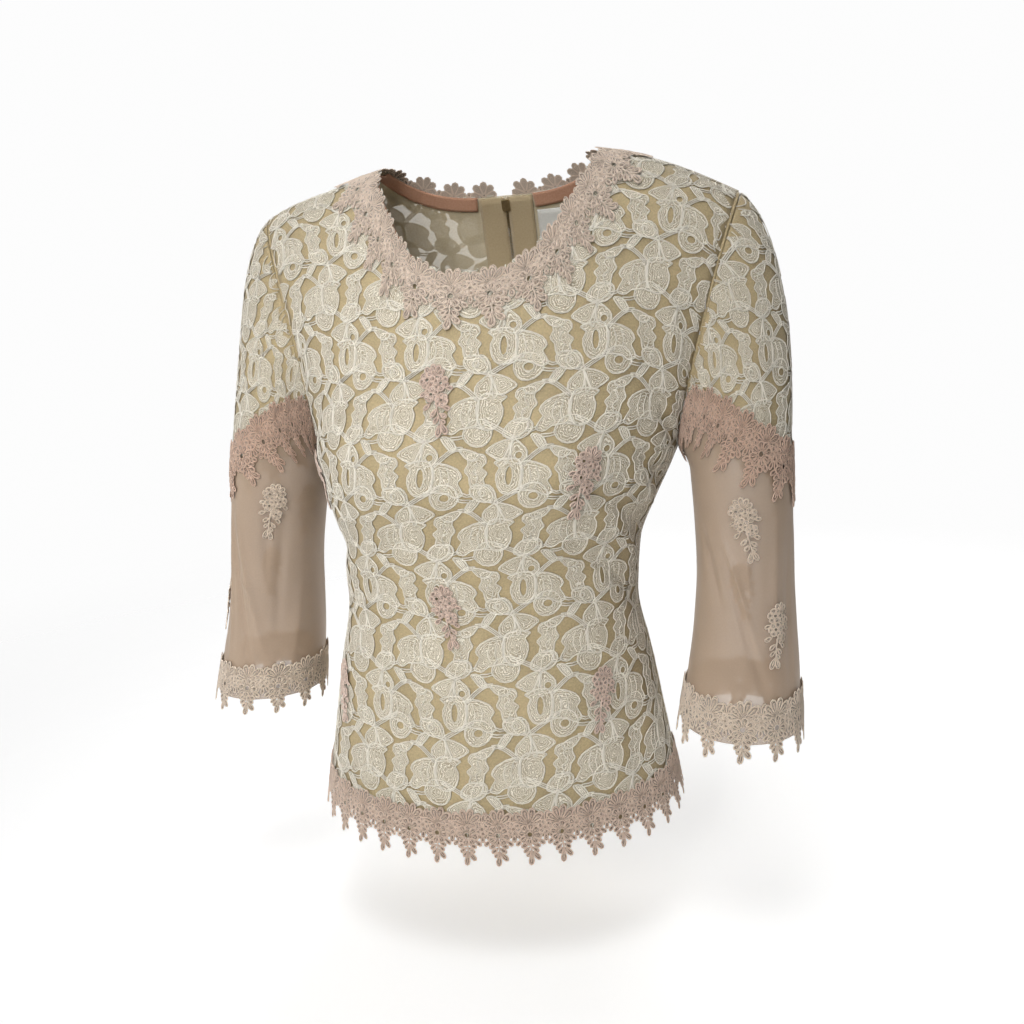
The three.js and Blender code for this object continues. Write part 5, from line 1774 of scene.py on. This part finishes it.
def spray_place(part, spot):
    """A spray's (u, v) on its flat cloth."""
    if part in ("left", "right"):
        return flat_of(part)(spot[0] * DEGREE, spot[1])
    cloth = part.split("_")[0]
    grid, column, row = spot[:3]
    if grid == "yoke":
        return flat_of(cloth)(*yoke_place(cloth, column, row / 5))
    first = 0 if part == "back_left" else -1
    return flat_of(cloth)(first + column / 10, np.interp(row, range(len(TORSO["share"])), TORSO["share"]))


class BLOUSE_OT_sprays(bpy.types.Operator):
    """Sprays: applied flowers on the lace and on the sheer sleeves"""

    bl_idname = "blouse.sprays"
    bl_label = "Applied sprays"

    def execute(self, context):
        motif = [spray_motif().build("motif_spray")]
        for part, spots in SPRAYS.items():
            on_sleeve = part in ("left", "right")
            colour = "Cream guipure" if on_sleeve else "Applied rose"
            for number, spot in enumerate(spots, 1):
                u, v = spray_place(part, spot)
                size, turn = spot[-2:]
                name = f"spray_{'sleeve_' if on_sleeve else ''}{part}_{number}"
                place = [(float(u), float(v), turn, 0, size)]
                piece, cloth = name + "_flowers", base_for(part)
                lay(piece, name, "applique", cloth, motif, place, SPRAY_LIFT, colour, 1.0)
        return {"FINISHED"}


TOOTH = (
    *((1.6, -0.5), (1.6, 0.5), (-0.5, 0.42), (-1.0, 0.68)),
    *((-1.5, 0.45), (-1.5, -0.45), (-1.0, -0.68), (-0.5, -0.42)),
)
TOOTH_HALF = 0.75
TOOTH_STEP = 1.55
CHAIN_FOOT = 1
CHAIN_TOP = 14.5  # left free under the slider
CHAIN_DEPTH = 1.3
CHAIN_APART = 0.95


class BLOUSE_OT_zip(bpy.types.Operator):
    """Zip: two tapes, the closed chain, the slider and its pull tab"""

    bl_idname = "blouse.zip"
    bl_label = "Zip"

    def execute(self, context):
        top = float(yoke_place("back", YOKE_COLUMNS / 2, 1.0)[1])
        heights = [plain_torso("back", 0, share)[2] for share in np.linspace(ZIP_FOOT, top - 0.004, 60)]
        for half, way in (("left", 1), ("right", -1)):
            piece = "zip_tape_" + half
            grid = back_patch(way * np.linspace(*TAPE_ACROSS, 7), heights)
            sheet(piece, [grid], TAPE_OUT, SEWN_THICK, "Zip tape", "zip_tape", piece)
        self.chain(np.linspace(ZIP_FOOT, top, 600))
        for node, body in (("zip_slider", BODY), ("zip_pull", "zip_pull")):
            self.rounded(node, body)
        return {"FINISHED"}

    def chain(self, shares):
        """Teeth from alternate sides up the middle of the back."""
        course, normal = cloth_at("back", 0, shares)
        run = run_along(course)
        read_at = lambda at, values: np.array([np.interp(at, run, values[:, k]) for k in range(3)])
        points, turns = [], []
        for i in range(int((run[-1] - CHAIN_FOOT - CHAIN_TOP) / TOOTH_STEP)):
            at = CHAIN_FOOT + i * TOOTH_STEP
            here = read_at(at, course)
            up = unit(read_at(at + 1, course) - here)
            side = unit(np.cross(up, read_at(at, normal)))
            out = np.cross(side, up)
            way = 1 if i % 2 else -1
            points.append(here - out * CHAIN_DEPTH + side * way * CHAIN_APART)
            turns.append(Matrix((side * way, up, out * way)).transposed().to_euler())
        inputs = {"Tooth": self.tooth(), "Tooth Size": 1.0, "Material": finish("Antique brass")}
        made = grow("zip_chain_teeth", points, [("turn", "FLOAT_VECTOR", turns)], teeth_tree(), inputs)
        wear(made, None, "zip_metal", "zip_chain")

    def tooth(self):
        """A small hooked tooth, wider at its tip."""
        n = len(TOOTH)
        points = [(x, y, z) for z in (TOOTH_HALF, -TOOTH_HALF) for x, y in TOOTH]
        faces = [tuple(range(n)), tuple(reversed(range(n, 2 * n)))]
        faces += [(n + i, n + (i + 1) % n, (i + 1) % n, i) for i in range(n)]
        return hide(new_mesh_object("motif_tooth", points, faces))

    def rounded(self, node, body):
        """A copy of a metal solid with its edges softened."""
        made = add_object(node + "_metal", frame["nodes"][node].data.copy())
        weld = made.modifiers.new("Weld", "WELD")
        weld.merge_threshold = 1e-6
        bevel = made.modifiers.new("Bevel", "BEVEL")
        bevel.width = 0.0002
        bevel.segments = 2
        bevel.limit_method = "ANGLE"
        bevel.angle_limit = 0.6
        wear(plain_mesh(made), "Antique brass", "zip_metal", node, body=body)


class BLOUSE_OT_label(bpy.types.Operator):
    """Label: a bare woven label inside the back"""

    bl_idname = "blouse.label"
    bl_label = "Label"

    def execute(self, context):
        grid = back_patch(np.linspace(*LABEL_ACROSS, 8), np.linspace(*LABEL_HEIGHT, 9))
        sheet("label", [grid], LABEL_OUT, SEWN_THICK, "Bare label", "label", "label")
        return {"FINISHED"}


def flowers(start, count):
    return [f"{start}_{n}_flowers" for n in range(1, count + 1)]


def cuts():
    """How each sheet was cut: its piece, its width and length and its area in metres, or None for a
    rectangle, what it lies on or hangs from, and the pieces sewn to it."""
    sewn_to_front = ["neck_trim_flowers", "hem_trim_flowers", "seam_welts", *flowers("spray_front", 6)]
    backs = ["back_lace_left", "back_lace_right"]
    rows = [
        ("front_lining", 0.47, 0.61, 0.216, backs, []),
        ("front_lace", 0.47, 0.61, 0.216, ["front_lining", *backs], sewn_to_front),
        ("neck_binding_front", 0.379, 0.012, None, ["front_lace"], []),
    ]
    for side in ("left", "right"):
        back = "back_lace_" + side
        lining, lace, sheer = [f"sleeve_{cloth}_{side}" for cloth in ("lining", "lace", "sheer")]
        on_sheer = [f"cuff_trim_{side}_flowers", *flowers("spray_sleeve_" + side, 4)]
        rows += [
            (back, 0.235, 0.61, 0.116, ["front_lace"], flowers("spray_back_" + side, 3)),
            ("back_net_" + side, 0.235, 0.61, 0.116, [back], []),
            (lining, 0.36, 0.17, 0.0345, ["front_lace", back], []),
            (lace, 0.36, 0.17, 0.0345, [lining], [f"sleeve_trim_{side}_flowers"]),
            (sheer, 0.36, 0.32, 0.0735, [lace], on_sheer),
            ("neck_binding_back_" + side, 0.0934, 0.013, None, [back], []),
            ("zip_tape_" + side, 0.0233, 0.364, None, [back], []),
        ]
    return rows + [("label", 0.028, 0.032, None, ["back_lace_left"], [])]


class BLOUSE_OT_cuts(bpy.types.Operator):
    """Cuts: goes through the flat size that each sheet was cut to, and does nothing with it"""

    bl_idname = "blouse.cuts"
    bl_label = "Flat cuts"

    def execute(self, context):
        for piece, width, length, area, under, sewn in cuts():
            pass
        return {"FINISHED"}


FLOOR_HEIGHT = -0.66
FLOOR_REACH = 1.9
CAMERA_AIM = (0, 0, -0.30006)
CAMERA_DISTANCE = 0.88621
CAMERA_AZIMUTH = 12.214 * DEGREE
CAMERA_ELEVATION = 9.850 * DEGREE
CAMERA_ROLL = -3.432 * DEGREE
CAMERA_LENS = 34.8423


class BLOUSE_OT_stage(bpy.types.Operator):
    """Stage: camera, soft studio light and a pale floor"""

    bl_idname = "blouse.stage"
    bl_label = "Stage"

    def execute(self, context):
        scene = context.scene
        self.floor()
        scene.world = self.studio()
        scene.view_settings.view_transform = "Standard"
        self.light("key", (-0.3, -1.35, 0.25), 0.6, 1.05, (-0.08, 0, -0.34), 44)
        self.light("top", (0.0, -0.65, 1.5), 0.9, 11.0)
        self.light("neck", (0.05, -1.3, 0.8), 0.3, 0.06, (-0.02, 0.06, -0.05), 16)
        self.light("back", (0.4, 2.2, 1.0), 2.0, 28)
        self.camera(scene)
        return {"FINISHED"}

    def floor(self):
        """A pale disc that fades out into the studio's white."""
        corners = 96
        turns = [2 * math.pi * i / corners for i in range(corners)]
        disc = [(FLOOR_REACH * math.cos(a), FLOOR_REACH * math.sin(a), FLOOR_HEIGHT) for a in turns]
        mesh = bpy.data.meshes.new("floor")
        mesh.from_pydata(disc, [], [tuple(range(corners))])
        pale = bpy.data.materials.new("Pale floor")
        pale.use_nodes = True
        tree = pale.node_tree
        shade = tree.nodes["Principled BSDF"].inputs
        shade["Base Color"].default_value = (0.94, 0.94, 0.94, 1)
        shade["Roughness"].default_value = 0.9
        shade["Emission Color"].default_value = (1, 1, 1, 1)
        shade["Emission Strength"].default_value = 0.3
        where = add_node(tree, "ShaderNodeTexCoord").outputs["Object"]
        ends = {0: where, 1: (0, 0, FLOOR_HEIGHT)}
        away = add_node(tree, "ShaderNodeVectorMath", ends, operation="DISTANCE").outputs["Value"]
        fade = ranged(tree, away, (0.35, FLOOR_REACH), (1, 0), interpolation_type="SMOOTHSTEP")
        tree.links.new(fade, shade["Alpha"])
        mesh.materials.append(pale)
        add_object("floor", mesh)

    def studio(self):
        """White to look at, and a softer light that is weaker from the right."""
        world = bpy.data.worlds.new("Studio")
        world.use_nodes = True
        tree = world.node_tree
        seen = tree.nodes["Background"]
        seen.inputs["Color"].default_value = (1, 1, 1, 1)
        seen.inputs["Strength"].default_value = 0.98
        where = add_node(tree, "ShaderNodeTexCoord").outputs["Generated"]
        across = add_node(tree, "ShaderNodeSeparateXYZ", {0: where}).outputs["X"]
        strength = ranged(tree, across, (-0.8, 0.9), (0.63, 0.25))
        lit = add_node(tree, "ShaderNodeBackground", {"Strength": strength})
        shown = add_node(tree, "ShaderNodeLightPath").outputs["Is Camera Ray"]
        mix = add_node(tree, "ShaderNodeMixShader", {0: shown, 1: lit.outputs[0], 2: seen.outputs[0]})
        tree.links.new(mix.outputs[0], tree.nodes["World Output"].inputs[0])
        return world

    def light(self, name, place, size, power, aim=(0, 0, -0.3), spread=180):
        lamp = bpy.data.lights.new(name, "AREA")
        lamp.shape = "DISK"
        lamp.size = size
        lamp.energy = power
        lamp.spread = spread * DEGREE
        made = add_object(name, lamp)
        made.location = place
        made.rotation_euler = (Vector(aim) - Vector(place)).to_track_quat("-Z", "Y").to_euler()

    def camera(self, scene):
        level = math.cos(CAMERA_ELEVATION)
        away = Vector(
            (
                math.sin(CAMERA_AZIMUTH) * level,
                -math.cos(CAMERA_AZIMUTH) * level,
                math.sin(CAMERA_ELEVATION),
            )
        )
        right = (-away).cross(Vector((0, 0, 1))).normalized()
        up = right.cross(-away)
        c, s = math.cos(CAMERA_ROLL), math.sin(CAMERA_ROLL)
        turn = Matrix((right * c + up * s, up * c - right * s, away)).transposed().to_4x4()
        data = bpy.data.cameras.new("camera")
        data.lens, data.sensor_width = CAMERA_LENS, 36
        made = add_object("camera", data)
        made.matrix_world = Matrix.Translation(Vector(CAMERA_AIM) + away * CAMERA_DISTANCE) @ turn
        scene.camera = made


OPERATORS = (
    BLOUSE_OT_stage,
    BLOUSE_OT_front,
    BLOUSE_OT_back,
    BLOUSE_OT_sleeves,
    BLOUSE_OT_seams,
    BLOUSE_OT_neck,
    BLOUSE_OT_hem,
    BLOUSE_OT_cuffs,
    BLOUSE_OT_sleeve_trims,
    BLOUSE_OT_sprays,
    BLOUSE_OT_zip,
    BLOUSE_OT_label,
    BLOUSE_OT_cuts,
)


class BLOUSE_PT_panel(bpy.types.Panel):
    """The blouse's sizes, colours and pieces"""

    bl_idname = "BLOUSE_PT_panel"
    bl_label = "Lace Blouse"
    bl_space_type = "VIEW_3D"
    bl_region_type = "UI"
    bl_category = "Blouse"

    def draw(self, context):
        for group in (context.scene.blouse_sizes, context.scene.blouse_colours):
            box = self.layout.box()
            for key in group.__annotations__:
                box.prop(group, key)
        for operator in OPERATORS:
            self.layout.operator(operator.bl_idname)


CLASSES = (BLOUSE_PG_sizes, BLOUSE_PG_colours, *OPERATORS, BLOUSE_PT_panel)


def register():
    for item in CLASSES:
        bpy.utils.register_class(item)
    bpy.types.Scene.blouse_sizes = bpy.props.PointerProperty(type=BLOUSE_PG_sizes)
    bpy.types.Scene.blouse_colours = bpy.props.PointerProperty(type=BLOUSE_PG_colours)


def unregister():
    del bpy.types.Scene.blouse_colours
    del bpy.types.Scene.blouse_sizes
    for item in reversed(CLASSES):
        bpy.utils.unregister_class(item)


def main():
    register()
    for operator in OPERATORS:
        group, name = operator.bl_idname.split(".")
        getattr(getattr(bpy.ops, group), name)()
    drop_bases()


if __name__ == "__main__":
    main()
